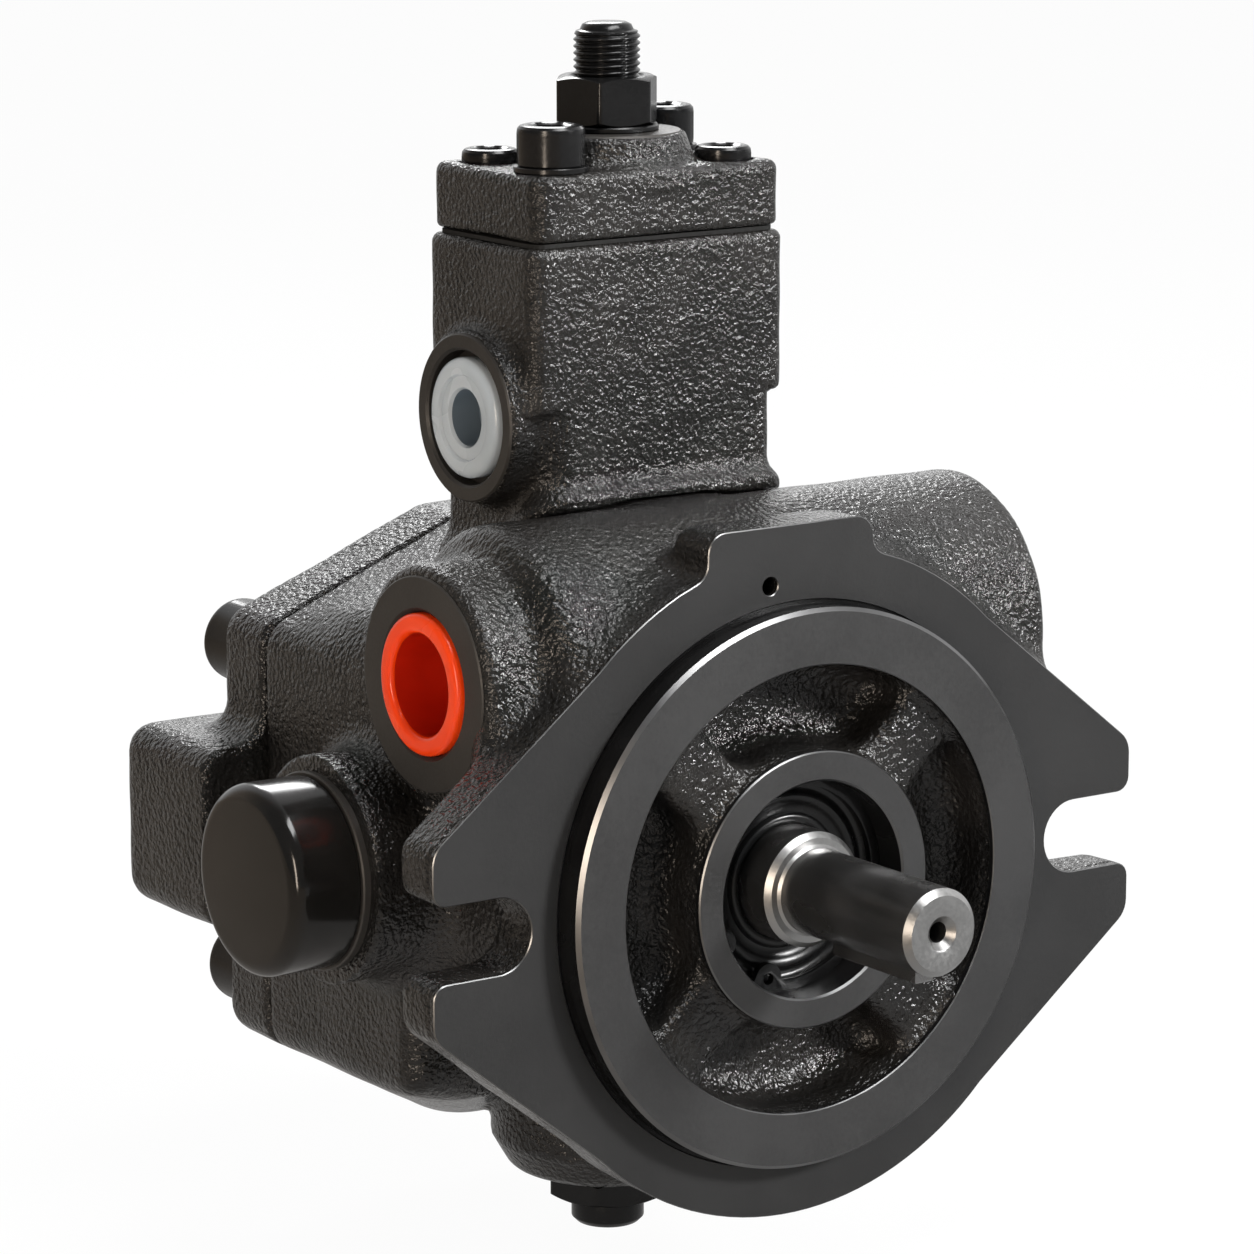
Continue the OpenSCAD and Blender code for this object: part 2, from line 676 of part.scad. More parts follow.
// The flange's outline with its two open slots and its top tab
module flange_outline() {
    inner_x = ear_line_r * sin(ear_slope);
    inner_z = ear_line_r * cos(ear_slope);
    slot_r = slot_w / 2;
    difference() {
        union() {
            circle(r = flange_r);
            polygon(outline(mirrored([
                [-inner_x, inner_z, 0],
                [-ear_half_w, ear_top, ear_corner_r],
                [-ear_half_w, slot_r, slot_corner_r],
                [-slot_span / 2, slot_r, 0],
                [-slot_span / 2, -slot_r, 0],
                [-ear_half_w, -slot_r, slot_corner_r],
                [-ear_half_w, -ear_top, ear_corner_r],
                [-inner_x, -inner_z, 0]])));
            translate([-tab_shift, 0]) polygon(outline(mirrored([
                [-tab_w / 2, tab_top, tab_corner_r],
                [-tab_w / 2, flange_r - tab_corner_r, tab_corner_r],
                [-tab_w / 2 - tab_corner_r * 2, flange_r - tab_corner_r * 2, 0],
                [-tab_w / 2, inner_z, 0]])));
        }
        for (s = [-1, 1]) translate([s * slot_span / 2, 0]) circle(r = slot_r);
    }
}
// The outline of the rear joint
module joint_outline() polygon(outline(mirrored([
    [-body_top_half_w, body_top, body_corner_r],
    [-body_half_w, body_shoulder, body_corner_r],
    [-body_half_w, -body_hip, body_corner_r],
    [-body_bottom_half_w, -body_bottom, body_corner_r]])));
// The part of that outline above the shoulder
module roof_outline() polygon(outline(mirrored([
    [-body_top_half_w, body_top, body_corner_r],
    [-body_half_w + body_corner_r / 2, body_shoulder, body_corner_r],
    [-body_half_w + body_corner_r / 2, 0, 0]])));

module body_casting() {
    slab_y(0, flange_t) flange_outline();
    lathe_y() polygon([[0, -pilot_h], [pilot_r - pilot_chamfer, -pilot_h],
        [pilot_r, pilot_chamfer - pilot_h], [pilot_r, flange_t / 2], [0, flange_t / 2]]);
    along_y(neck_r, flange_t / 2, body_wide_y + cut);
    slab_y(body_wide_y, body_len) joint_outline();
    hull() {
        translate([0, 0, -cut]) slab_y(body_len - cut * 2, body_len - cut) roof_outline();
        translate([0, 0, top_rise]) slab_y(top_front_y, top_front_y + cut) roof_outline();
    }
    on_gallery_axis() {
        lathe_x() polygon(outline([
            [0, -gallery_left, 0], [gallery_r, -gallery_left, gallery_round],
            [gallery_r, inlet_face, gallery_round], [0, inlet_face, 0]]));
        lathe_x() polygon(outline([
            [0, -outlet_face, 0], [outlet_root_d / 2, -outlet_face, boss_round],
            [outlet_root_d / 2, -gallery_left + cut, 0], [0, -gallery_left + cut, 0]]));
    }
    on_thrust_axis() {
        along_x(thrust_boss_r, -thrust_boss_x, -cavity_r);
        along_x(cap_d / 2 + collar_step, -collar_x, -cavity_r);
        along_x(cap_inner_r - fit_gap, -cap_spigot_x, -cavity_r);
    }
    on_adjust_axis() mirror([0, 0, 1]) rotate_extrude() polygon(outline([
        [0, cavity_r, 0], [bottom_boss_root_r, cavity_r, 0],
        [bottom_boss_root_r, body_bottom, boss_edge_r],
        [bottom_boss_r, bottom_boss_z, boss_edge_r], [0, bottom_boss_z, 0]]));
}
// The cast pockets round the hub, with their four ribs left standing
module hub_pockets() difference() {
    ring_y(pilot_inner_d / 2, hub_r, -pilot_h - cut, pocket_depth - pilot_h);
    for (a = [45, 135]) rotate([0, a, 0])
        translate([-pilot_r, rib_drop - pilot_h, -pocket_rib_w / 2])
            cube([pilot_d, pocket_depth, pocket_rib_w]);
}
module shaft_passage() {
    along_y(seal_r + seat_gap, -pilot_h - cut, seal_y + seal_w + cut);
    along_y(seal_r + groove_depth, seal_y - circlip_t - seat_gap, seal_y);
    along_y(web_bore_d / 2, 0, cavity_floor_y);
    along_y(bearing_r + seat_gap, bearing_y - seat_gap, cavity_floor_y + cut);
}
// The way from a port to the front port plate, for the left side
module port_passage(face, d) {
    on_gallery_axis() {
        along_x(d / 2, -face - cut, -face + port_depth);
        along_x(port_way_d / 2, -face, -passage_x);
    }
    translate([-passage_x, gallery_y, passage_z]) {
        along_z(passage_d / 2, 0, gallery_z - passage_z);
        sphere(r = passage_d / 2);
        along_y(passage_d / 2, 0, cavity_floor_y - gallery_y + cut);
    }
}
module body() color("#2c2c2e") difference() {
    body_casting();
    hub_pockets();
    ring_y(pilot_r + relief_w, pilot_r, -cut, relief_depth);
    translate([vent_x, 0, vent_z]) along_y(vent_d / 2, -cut, vent_depth);
    shaft_passage();
    along_y(cavity_r, cavity_floor_y, body_len + cut);
    port_passage(outlet_face, outlet_d);
    mirror([1, 0, 0]) port_passage(inlet_face, inlet_d);
    on_adjust_axis() {
        along_z(piston_d / 2 + fit_gap, 0, seat_z + cut);
        translate([-foot_half_w - foot_gap, -housing_half_d - foot_gap, seat_z])
            cube([(foot_half_w + foot_gap) * 2, housing_half_d * 2 - foot_step + foot_gap * 2, boss_top]);
        mirror([0, 0, 1]) along_z(side_screw_d / 2 + fit_gap, 0, bottom_boss_z + cut);
    }
    on_thrust_axis() along_x(side_screw_d / 2 + fit_gap, -cap_spigot_x - cut, 0);
    long_screw_places() along_z(long_screw_d / 2 + seat_gap,
        washer_t + cover_top - long_screw_len - cut, seat_z + cut);
    rear_screw_places() along_y(rear_screw_d / 2 + seat_gap,
        plate_rear - rear_screw_len - cut, body_len + cut);
    rotate([0, -dowel_angle, 0]) translate([dowel_r, 0, 0])
        along_y(dowel_d / 2 + seat_gap, cavity_floor_y - dowel_len / 2 - cut, cavity_floor_y + cut);
}

module rear_cover() color("#2c2c2e") difference() {
    union() {
        slab_y(body_len, plate_rear) joint_outline();
        along_y(spigot_r - seat_gap, body_len - spigot_len, body_len);
        along_y(rear_boss_d / 2, body_len, body_len + box_depth);
        intersection() {
            slab_y(body_len, body_len + box_depth) polygon(outline([
                [-box_left, box_top, box_corner_r], [box_right, box_top, box_corner_r],
                [box_right, -box_bottom, box_corner_r], [-box_left, -box_bottom, box_corner_r]]));
            translate([0, 0, -box_bottom - cut]) linear_extrude(height = box_top + box_bottom + cut * 2)
                polygon(outline([
                    [-box_left, body_len, 0], [box_right, body_len, 0],
                    [box_right, body_len + box_depth, box_corner_r],
                    [-box_left, body_len + box_depth, box_corner_r]]));
        }
    }
    along_y(bush_d / 2 + seat_gap, body_len - spigot_len - cut, shaft_rear + cut);
    ring_y(cavity_r + cut, spigot_r - o_ring_d, body_len - o_ring_groove_w * 2, body_len - o_ring_groove_w);
    rear_screw_places() along_y(rear_screw_d / 2 + hole_gap, body_len - cut, plate_rear + cut);
    rotate([0, -dowel_angle, 0]) translate([dowel_r, 0, 0])
        along_y(dowel_d / 2 + seat_gap, body_len - spigot_len - cut, rear_plate_rear_y + dowel_len / 2 + cut);
}

// The rounded plan of the spring housing or its cover
module plan(half_w, half_d, rear_step = 0) polygon(outline([
    [-half_w, -half_d, housing_corner_r], [half_w, -half_d, housing_corner_r],
    [half_w, half_d - rear_step, housing_corner_r], [-half_w, half_d - rear_step, housing_corner_r]]));
module spring_housing() color("#2c2c2e") difference() {
    union() {
        on_adjust_axis() {
            translate([0, 0, foot_top]) linear_extrude(height = housing_top - foot_top)
                plan(housing_half_w, housing_half_d);
            translate([0, 0, foot_base]) linear_extrude(height = foot_top - foot_base)
                plan(foot_half_w, housing_half_d, foot_step);
        }
        on_drain_axis() along_x(drain_face_d / 2, -drain_face, -housing_half_w + housing_half_d);
    }
    on_adjust_axis() along_z(spring_bore_d / 2, 0, housing_top + cut);
    on_drain_axis() {
        along_x(drain_mouth_d / 2, -drain_face - cut, -drain_face + drain_mouth_depth);
        along_x(drain_d / 2, -drain_face - cut, -drain_bore_end);
        along_x(drain_way_d / 2, -drain_face, 0);
    }
    long_screw_places() along_z(long_screw_d / 2 + hole_gap / 2, 0, housing_top + cut);
    short_screw_places() along_z(short_screw_d / 2 + seat_gap,
        cover_top + short_head_proud - short_head_h - short_screw_len - cut, housing_top + cut);
}
module spring_cover() color("#2c2c2e") difference() {
    on_adjust_axis() {
        translate([0, 0, cover_base]) linear_extrude(height = cover_t) plan(cover_half_w, cover_half_d);
        translate([0, 0, cover_top - cut]) cylinder(r = boss_root_r, h = cut);
        translate([0, 0, cover_top]) cylinder(r1 = boss_root_r, r2 = boss_r, h = boss_h);
    }
    on_adjust_axis() along_z(pressure_screw_d / 2 + fit_gap, cover_base - cut, boss_top + cut);
    long_screw_places() {
        along_z(long_screw_d / 2 + hole_gap, cover_base - cut, cover_top + cut);
        along_z(washer_d / 2 + hole_gap, cover_top, boss_top + cut);
    }
    short_screw_places() {
        along_z(short_screw_d / 2 + hole_gap, cover_base - cut, cover_top + cut);
        along_z(short_head_d / 2 + hole_gap, cover_top + short_head_proud - short_head_h, boss_top + cut);
    }
}
module foot_gasket() color("#3a3a38") difference() {
    on_adjust_axis() translate([0, 0, seat_z]) linear_extrude(height = foot_gasket_t)
        plan(foot_half_w, housing_half_d, foot_step);
    on_adjust_axis() along_z(spring_bore_d / 2, 0, housing_top);
    long_screw_places() along_z(long_screw_d / 2 + hole_gap / 2, 0, housing_top);
}
module cover_gasket() color("#3a3a38") difference() {
    on_adjust_axis() translate([0, 0, housing_top]) linear_extrude(height = cover_gasket_t)
        plan(cover_half_w - cut, cover_half_d - cut);
    on_adjust_axis() along_z(spring_bore_d / 2, 0, boss_top);
    long_screw_places() along_z(long_screw_d / 2 + hole_gap, 0, boss_top);
    short_screw_places() along_z(short_screw_d / 2 + hole_gap, 0, boss_top);
}
module cover_o_ring() color("#151515")
    translate([0, o_ring_y, 0]) lathe_y()
        translate([cavity_r - seat_gap - o_ring_d / 2, 0]) circle(r = o_ring_d / 2, $fn = 24);

module drive_shaft() color("#4a4a4c") difference() {
    union() {
        lathe_y() polygon([[0, -drive_tip], [drive_d / 2 - tip_chamfer, -drive_tip],
            [drive_d / 2, tip_chamfer - drive_tip], [drive_d / 2, 0], [0, 0]]);
        lathe_y() polygon([[0, -journal_front], [journal_r - tip_chamfer, -journal_front],
            [journal_r, tip_chamfer - journal_front], [journal_r, bearing_rear_y + circlip_t * 2],
            [0, bearing_rear_y + circlip_t * 2]]);
        along_y(rotor_seat_d / 2, 0, rear_plate_rear_y);
        along_y(rear_journal_d / 2, 0, shaft_rear);
    }
    translate([0, -drive_tip, 0]) {
        along_y(centre_d / 2, -cut, centre_depth);
        rotate([-90, 0, 0]) translate([0, 0, -cut])
            cylinder(r1 = centre_mouth_d / 2 + cut, r2 = 0, h = centre_mouth_d / 2 + cut);
    }
    translate([-key_w / 2 - seat_gap, key_setback - drive_tip - seat_gap, -drive_d / 2 - cut])
        cube([key_w + seat_gap * 2, key_len + seat_gap * 2, key_w / 2 + cut + seat_gap]);
    translate([-rotor_key_w / 2 - seat_gap, adjust_y - rotor_key_len / 2 - seat_gap,
        rotor_seat_d / 2 - rotor_key_w / 2 - seat_gap])
        cube([rotor_key_w + seat_gap * 2, rotor_key_len + seat_gap * 2, rotor_key_w]);
    for (y = shaft_circlip_y)
        ring_y(journal_r + cut, journal_r - groove_depth, y - seat_gap, y + circlip_t + seat_gap);
}
module drive_key() color("#3a3a3c")
    translate([-key_w / 2, key_setback - drive_tip, -drive_d / 2 - key_w / 2])
        cube([key_w, key_len, key_w]);
module rotor_key() color("#3a3a3c")
    translate([-rotor_key_w / 2, adjust_y - rotor_key_len / 2, rotor_seat_d / 2 - rotor_key_w / 2])
        cube([rotor_key_w, rotor_key_len, rotor_key_w]);
// An open ring along Y with its gap at the angle a, seen from the front
module open_ring(r1, r0, y, a) difference() {
    ring_y(r1, r0, y, y + circlip_t);
    slab_y(y - cut, y + circlip_t + cut)
        polygon([[0, 0], for (s = [-1, 1]) r1 * 2 * [cos(a + s * circlip_gap), sin(a + s * circlip_gap)]]);
}
module shaft_circlips() color("#2a2a2c") for (y = shaft_circlip_y)
    open_ring(journal_r + circlip_w / 2, journal_r - groove_depth + seat_gap, y, circlip_angle);
module front_bearing_inner_race() color("#b8bcc0") difference() {
    ring_y(journal_r + race_space * race_shares[0], journal_r + seat_gap, bearing_y, bearing_rear_y);
    ball_groove();
}
module front_bearing_outer_race() color("#b8bcc0") difference() {
    ring_y(bearing_r, journal_r + race_space * race_shares[1], bearing_y, bearing_rear_y);
    ball_groove();
}
module ball_groove() translate([0, bearing_mid_y, 0]) lathe_y() translate([ball_pitch_r, 0])
    circle(r = ball_d / 2 + fit_gap * 2);
module ball_places() for (i = [0:ball_count - 1]) rotate([0, i * 360 / ball_count, 0])
    translate([ball_pitch_r, bearing_mid_y, 0]) children();
module front_bearing_balls() color("#d0d4d8") ball_places() sphere(r = ball_d / 2);
module front_bearing_cage() color("#b08a45") difference() {
    ring_y(ball_pitch_r + cage_wall / 2, ball_pitch_r - cage_wall / 2,
        bearing_mid_y - cage_w / 2, bearing_mid_y + cage_w / 2);
    ball_places() along_x(ball_d / 2 + fit_gap, -ball_d, ball_d);
}
module rear_bush() color("#a97c3a")
    ring_y(bush_d / 2, rear_journal_d / 2 + fit_gap, shaft_rear - bush_len, shaft_rear);

module shaft_seal() color("#141414") lathe_y() polygon([for (p = seal_shares)
    [journal_r + fit_gap + p.x * seal_height, seal_y + seat_gap + p.y * seal_w]]);
module seal_garter_spring() color("#b0b4b8")
    translate([0, seal_y + garter_shares.y * seal_w, 0]) lathe_y()
        translate([journal_r + garter_shares.x * seal_height, 0]) circle(r = garter_r, $fn = 16);
module seal_circlip() color("#1a1a1b") translate([0, seal_y - circlip_t - seat_gap / 2, 0]) {
    difference() {
        union() {
            open_ring(seal_r + groove_depth - seat_gap, lug_r, 0, circlip_angle);
            for (s = [-1, 1]) rotate([0, -circlip_angle - s * lug_angle, 0])
                translate([lug_r, 0, 0]) along_y(eye_r, 0, circlip_t);
        }
        for (s = [-1, 1]) rotate([0, -circlip_angle - s * lug_angle, 0])
            translate([lug_r, 0, 0]) along_y(eye_hole_r, -cut, circlip_t + cut);
    }
}

module vane_places() for (i = [0:vane_count - 1])
    rotate([0, (i * 2 + 1) * 180 / vane_count, 0]) children();
module rotor() color("#7c7f83") difference() {
    ring_y(rotor_d / 2, rotor_seat_d / 2 + seat_gap, rotor_front_y, rotor_rear_y);
    translate([-rotor_key_w / 2 - seat_gap, rotor_front_y - cut, 0])
        cube([rotor_key_w + seat_gap * 2, rotor_w + cut * 2,
            rotor_seat_d / 2 + rotor_key_w / 2 + seat_gap * 2]);
    vane_places() {
        translate([vane_root_r - vane_gap * 2, rotor_front_y - cut, -vane_t / 2 - vane_gap])
            cube([vane_h + rotor_d, rotor_w + cut * 2, vane_t + vane_gap * 2]);
        translate([vane_root_r - vane_gap * 2, 0, 0])
            along_y(slot_root_r, rotor_front_y - cut, rotor_rear_y + cut);
    }
}
module vanes() color("#9a9da2") vane_places() translate([vane_root_r, rotor_front_y + vane_gap, -vane_t / 2])
    cube([vane_h, rotor_w - vane_gap * 2, vane_t]);
module cam_ring() color("#8a8d91") translate([0, 0, ring_z]) difference() {
    ring_y(ring_outer_d / 2, ring_inner_d / 2, ring_front_y, ring_rear_y);
    for (a = [0, 90, 270]) rotate([0, a, 0]) translate([-ring_outer_d, ring_front_y - cut, -ring_outer_d])
        cube([ring_outer_d - ring_flat, ring_w + cut * 2, ring_outer_d * 2]);
}
// A kidney port drawn in x and z, for the left side
module kidney() {
    low = 180 - kidney_half_angle;
    high = 180 + kidney_half_angle;
    polygon(concat(
        arc([0, 0], kidney_r + kidney_w / 2, low, high, corner_steps * 4),
        arc(kidney_r * [cos(high), sin(high)], kidney_w / 2, high, high + 180, corner_steps * 2),
        arc([0, 0], kidney_r - kidney_w / 2, high, low, corner_steps * 4),
        arc(kidney_r * [cos(low), sin(low)], kidney_w / 2, low + 180, low + 360, corner_steps * 2)));
}
module kidneys(y0, y1) for (s = [0, 1]) mirror([s, 0, 0]) slab_y(y0, y1) kidney();
module dowel_hole(y0, y1) rotate([0, -dowel_angle, 0]) translate([dowel_r, 0, 0])
    along_y(dowel_d / 2 + seat_gap, y0, y1);
module front_port_plate() color("#a97c3a") difference() {
    union() {
        along_y(port_plate_d / 2, cavity_floor_y, front_plate_rear_y);
        ring_y(bearing_r - seat_gap, web_bore_d / 2, bearing_rear_y + seat_gap, cavity_floor_y + cut);
    }
    along_y(rotor_seat_d / 2 + hole_gap, cavity_floor_y - cut, front_plate_rear_y + cut);
    kidneys(cavity_floor_y - cut, front_plate_rear_y + cut);
    dowel_hole(cavity_floor_y - cut, cavity_floor_y + dowel_len / 2 + cut);
}
module rear_port_plate() color("#a97c3a") difference() {
    along_y(port_plate_d / 2, rear_plate_front_y, rear_plate_rear_y);
    along_y(rotor_seat_d / 2 + hole_gap, rear_plate_front_y - cut, rear_plate_rear_y + cut);
    kidneys(rear_plate_front_y - cut, rear_plate_front_y + kidney_depth);
    dowel_hole(rear_plate_rear_y - dowel_len / 2 - cut, rear_plate_rear_y + cut);
}
module plate_dowels() color("#b0b4b8") rotate([0, -dowel_angle, 0]) translate([dowel_r, 0, 0])
    for (y = [cavity_floor_y, rear_plate_rear_y])
        along_y(dowel_d / 2, y - dowel_len / 2, y + dowel_len / 2);

module pressure_piston() color("#9a9da2") on_adjust_axis() {
    along_z(piston_d / 2, piston_base, piston_flange_z);
    along_z(spring_bore_d / 2 - fit_gap * 2, piston_flange_z, piston_top);
    along_z(spring_mean_r - spring_wire_d, piston_top, piston_top + spring_seat_t);
}
// The wire of the pressure spring, swept along its coil
function coil_point(i) = let (n = coil_steps * spring_turns, a = i * 360 / coil_steps)
    [spring_mean_r * cos(a), spring_mean_r * sin(a), spring_low + (spring_high - spring_low) * i / n];
function coil_ring(i) = let (a = i * 360 / coil_steps, c = coil_point(i))
    [for (k = [0:wire_sides - 1]) let (b = k * 360 / wire_sides)
        c + spring_wire_d / 2 * [cos(b) * cos(a), cos(b) * sin(a), sin(b)]];
module pressure_spring() color("#707478") on_adjust_axis() {
    n = coil_steps * spring_turns;
    m = wire_sides;
    polyhedron(
        points = [for (i = [0:n]) each coil_ring(i)],
        faces = concat(
            [[for (k = [0:m - 1]) k]],
            [for (i = [0:n - 1], k = [0:m - 1]) let (j = (k + 1) % m)
                [i * m + k, (i + 1) * m + k, (i + 1) * m + j, i * m + j]],
            [[for (k = [m - 1:-1:0]) n * m + k]]));
}
module upper_spring_seat() color("#9a9da2") on_adjust_axis() {
    along_z(spring_bore_d / 2 - fit_gap * 2, upper_seat_z, upper_seat_top);
    along_z(spring_mean_r - spring_wire_d, upper_seat_z - spring_seat_t, upper_seat_z);
}
module pressure_screw() color("#1c1c1e") on_adjust_axis() translate([0, 0, upper_seat_top])
    adjusting_screw(pressure_screw_d, top_screw_end - upper_seat_top);
module pressure_seal_washer() color("#101010") on_adjust_axis() translate([0, 0, boss_top])
    seal_washer(pressure_washer_d, pressure_screw_d);
module pressure_lock_nut() color("#1c1c1e") on_adjust_axis() translate([0, 0, washer_top])
    lock_nut(pressure_nut_af, pressure_nut_h, pressure_screw_d, pressure_nut_turn);

module long_cover_screws() color("#1c1c1e") long_screw_places() translate([0, 0, cover_top + washer_t])
    cap_screw(long_screw_d, long_head_d, long_head_h, long_screw_len);
module short_cover_screws() color("#1c1c1e") short_screw_places()
    translate([0, 0, cover_top + short_head_proud - short_head_h])
        cap_screw(short_screw_d, short_head_d, short_head_h, short_screw_len);
module cover_screw_washers() color("#1c1c1e") long_screw_places() difference() {
    along_z(washer_d / 2, cover_top, cover_top + washer_t);
    along_z(long_screw_d / 2 + washer_gap, cover_top - cut, cover_top + washer_t + cut);
}
module rear_cover_screws() color("#1c1c1e") rear_screw_places() translate([0, plate_rear, 0])
    rotate([-90, 0, 0]) cap_screw(rear_screw_d, rear_head_d, rear_head_h, rear_screw_len);

module flow_pad() color("#b0b4b8") on_adjust_axis() mirror([0, 0, 1])
    along_z(pad_d / 2, flow_pad_top, flow_pad_top + flow_pad_t);
module flow_screw() color("#1c1c1e") on_adjust_axis() mirror([0, 0, 1]) {
    start = flow_pad_top + flow_pad_t;
    along_z(pad_d / 2, start, start + point_len);
    along_z(side_screw_d / 2, start + point_len, flow_washer_z + flow_nut_h);
    translate([0, 0, flow_washer_z + flow_nut_h - cut])
        adjusting_screw(flow_end_d, flow_screw_end - flow_washer_z - flow_nut_h + cut);
}
module flow_seal_washer() color("#101010") on_adjust_axis() mirror([0, 0, 1])
    translate([0, 0, bottom_boss_z]) seal_washer(flow_nut_af, side_screw_d);
module flow_lock_nut() color("#1c1c1e") on_adjust_axis() mirror([0, 0, 1])
    translate([0, 0, flow_washer_z]) lock_nut(flow_nut_af, flow_nut_h, side_screw_d, -flow_nut_turn);
// Shapes drawn along Z, turned to point to the left along the thrust axis
module thrust_way() on_thrust_axis() rotate([0, -90, 0]) children();
module thrust_pad() color("#b0b4b8") thrust_way()
    along_z(thrust_pad_d / 2, thrust_pad_x, thrust_pad_x + thrust_pad_t);
module thrust_screw() color("#1c1c1e") thrust_way() {
    start = thrust_pad_x + thrust_pad_t;
    along_z(pad_d / 2, start, start + point_len + cut);
    translate([0, 0, start + point_len])
        adjusting_screw(side_screw_d, thrust_screw_end - start - point_len);
}
module thrust_seal_washer() color("#101010") thrust_way() translate([0, 0, cap_spigot_x])
    seal_washer(thrust_nut_af, side_screw_d);
module thrust_lock_nut() color("#1c1c1e") thrust_way() translate([0, 0, thrust_washer_x])
    lock_nut(thrust_nut_af, thrust_nut_h, side_screw_d, 0);
module thrust_cap() color("#161618") thrust_way() rotate_extrude() polygon(concat(
    [[cap_inner_r, collar_x + fit_gap], [cap_d / 2, collar_x + fit_gap]],
    arc([cap_d / 2 - cap_edge_r, cap_face_x - cap_edge_r], cap_edge_r, 0, 90, corner_steps * 2),
    [[0, cap_face_x], [0, cap_face_x - cap_wall], [cap_inner_r, cap_face_x - cap_wall]]));

module outlet_plug() color("#f04a20") on_gallery_axis() rotate([0, -90, 0]) difference() {
    along_z(outlet_plug_d / 2, outlet_face + outlet_plug_proud - outlet_cup_depth - plug_floor,
        outlet_face + outlet_plug_proud);
    along_z(outlet_cup_d / 2, outlet_face + outlet_plug_proud - outlet_cup_depth,
        outlet_face + outlet_plug_proud + cut);
}
module drain_plug() color("#c8d0d4") on_drain_axis() rotate([0, -90, 0]) difference() {
    union() {
        along_z(drain_plug_d / 2, drain_face - drain_mouth_depth, drain_face);
        along_z(drain_ring_d / 2, drain_face - drain_mouth_depth, drain_face + drain_plug_proud);
        along_z(drain_d / 2 - seat_gap * 2,
            drain_face + drain_plug_proud - drain_cup_depth - plug_floor / 2,
            drain_face - drain_mouth_depth);
    }
    along_z(drain_cup_d / 2, drain_face + drain_plug_proud - drain_cup_depth,
        drain_face + drain_plug_proud + cut);
}
module inlet_plug() color("#f04a20") on_gallery_axis() rotate([0, 90, 0]) difference() {
    along_z(inlet_plug_d / 2, inlet_face + outlet_plug_proud - outlet_cup_depth - plug_floor,
        inlet_face + outlet_plug_proud);
    along_z(inlet_cup_d / 2, inlet_face + outlet_plug_proud - outlet_cup_depth,
        inlet_face + outlet_plug_proud + cut);
}

body();
rear_cover();
spring_housing();
spring_cover();
foot_gasket();
cover_gasket();
cover_o_ring();
drive_shaft();
drive_key();
rotor_key();
shaft_circlips();
front_bearing_inner_race();
front_bearing_outer_race();
front_bearing_balls();
front_bearing_cage();
rear_bush();
shaft_seal();
seal_garter_spring();
seal_circlip();
rotor();
vanes();
cam_ring();
front_port_plate();
rear_port_plate();
plate_dowels();
pressure_piston();
pressure_spring();
upper_spring_seat();
pressure_screw();
pressure_seal_washer();
pressure_lock_nut();
long_cover_screws();
short_cover_screws();
cover_screw_washers();
rear_cover_screws();
flow_pad();
flow_screw();
flow_seal_washer();
flow_lock_nut();
thrust_pad();
thrust_screw();
thrust_seal_washer();
thrust_lock_nut();
thrust_cap();
outlet_plug();
drain_plug();
inlet_plug();
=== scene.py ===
import bpy
import bmesh
import json
import math
import numpy as np
from mathutils import Matrix, Vector


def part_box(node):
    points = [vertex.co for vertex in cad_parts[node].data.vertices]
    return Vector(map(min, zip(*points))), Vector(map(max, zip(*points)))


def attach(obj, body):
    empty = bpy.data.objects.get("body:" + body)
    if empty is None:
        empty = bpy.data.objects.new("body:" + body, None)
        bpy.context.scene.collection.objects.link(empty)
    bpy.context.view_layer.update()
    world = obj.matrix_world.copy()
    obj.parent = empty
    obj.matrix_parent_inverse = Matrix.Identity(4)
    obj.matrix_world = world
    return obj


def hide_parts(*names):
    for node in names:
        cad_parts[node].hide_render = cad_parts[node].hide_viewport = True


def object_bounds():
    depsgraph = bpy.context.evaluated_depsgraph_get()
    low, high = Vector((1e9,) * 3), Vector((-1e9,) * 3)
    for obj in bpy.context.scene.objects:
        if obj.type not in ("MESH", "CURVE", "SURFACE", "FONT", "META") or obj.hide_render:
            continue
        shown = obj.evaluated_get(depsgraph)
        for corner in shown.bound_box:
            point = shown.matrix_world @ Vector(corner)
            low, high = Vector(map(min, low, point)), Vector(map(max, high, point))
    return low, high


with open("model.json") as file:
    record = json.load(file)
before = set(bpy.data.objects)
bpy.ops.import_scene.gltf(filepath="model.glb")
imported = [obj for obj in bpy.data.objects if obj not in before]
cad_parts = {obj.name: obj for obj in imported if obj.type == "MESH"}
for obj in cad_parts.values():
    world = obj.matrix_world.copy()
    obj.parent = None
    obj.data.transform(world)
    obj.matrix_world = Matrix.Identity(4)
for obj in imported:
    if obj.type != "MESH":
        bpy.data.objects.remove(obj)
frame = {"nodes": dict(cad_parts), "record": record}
CAD_LOW, CAD_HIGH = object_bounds()
NODES = frame["nodes"]
MM = 0.001
WAVE_HEIGHT = 0.07  # of a cast wall, in millimetres

# ---------------------------------------------------------------- distance fields, in millimetres


def join(a, b, r):
    """The union of two fields with a fillet of the radius r between them."""
    return np.maximum(r, np.minimum(a, b)) - np.hypot(np.maximum(r - a, 0), np.maximum(r - b, 0))


def meet(a, b, r):
    """What two fields share, with a rounded edge of the radius r."""
    return np.minimum(-r, np.maximum(a, b)) + np.hypot(np.maximum(r + a, 0), np.maximum(r + b, 0))


def bar(u, v, r):
    """A round bar along the third axis."""
    return np.hypot(u, v) - r


def slab(t, low, high):
    """What lies between two places."""
    return np.maximum(low - t, t - high)


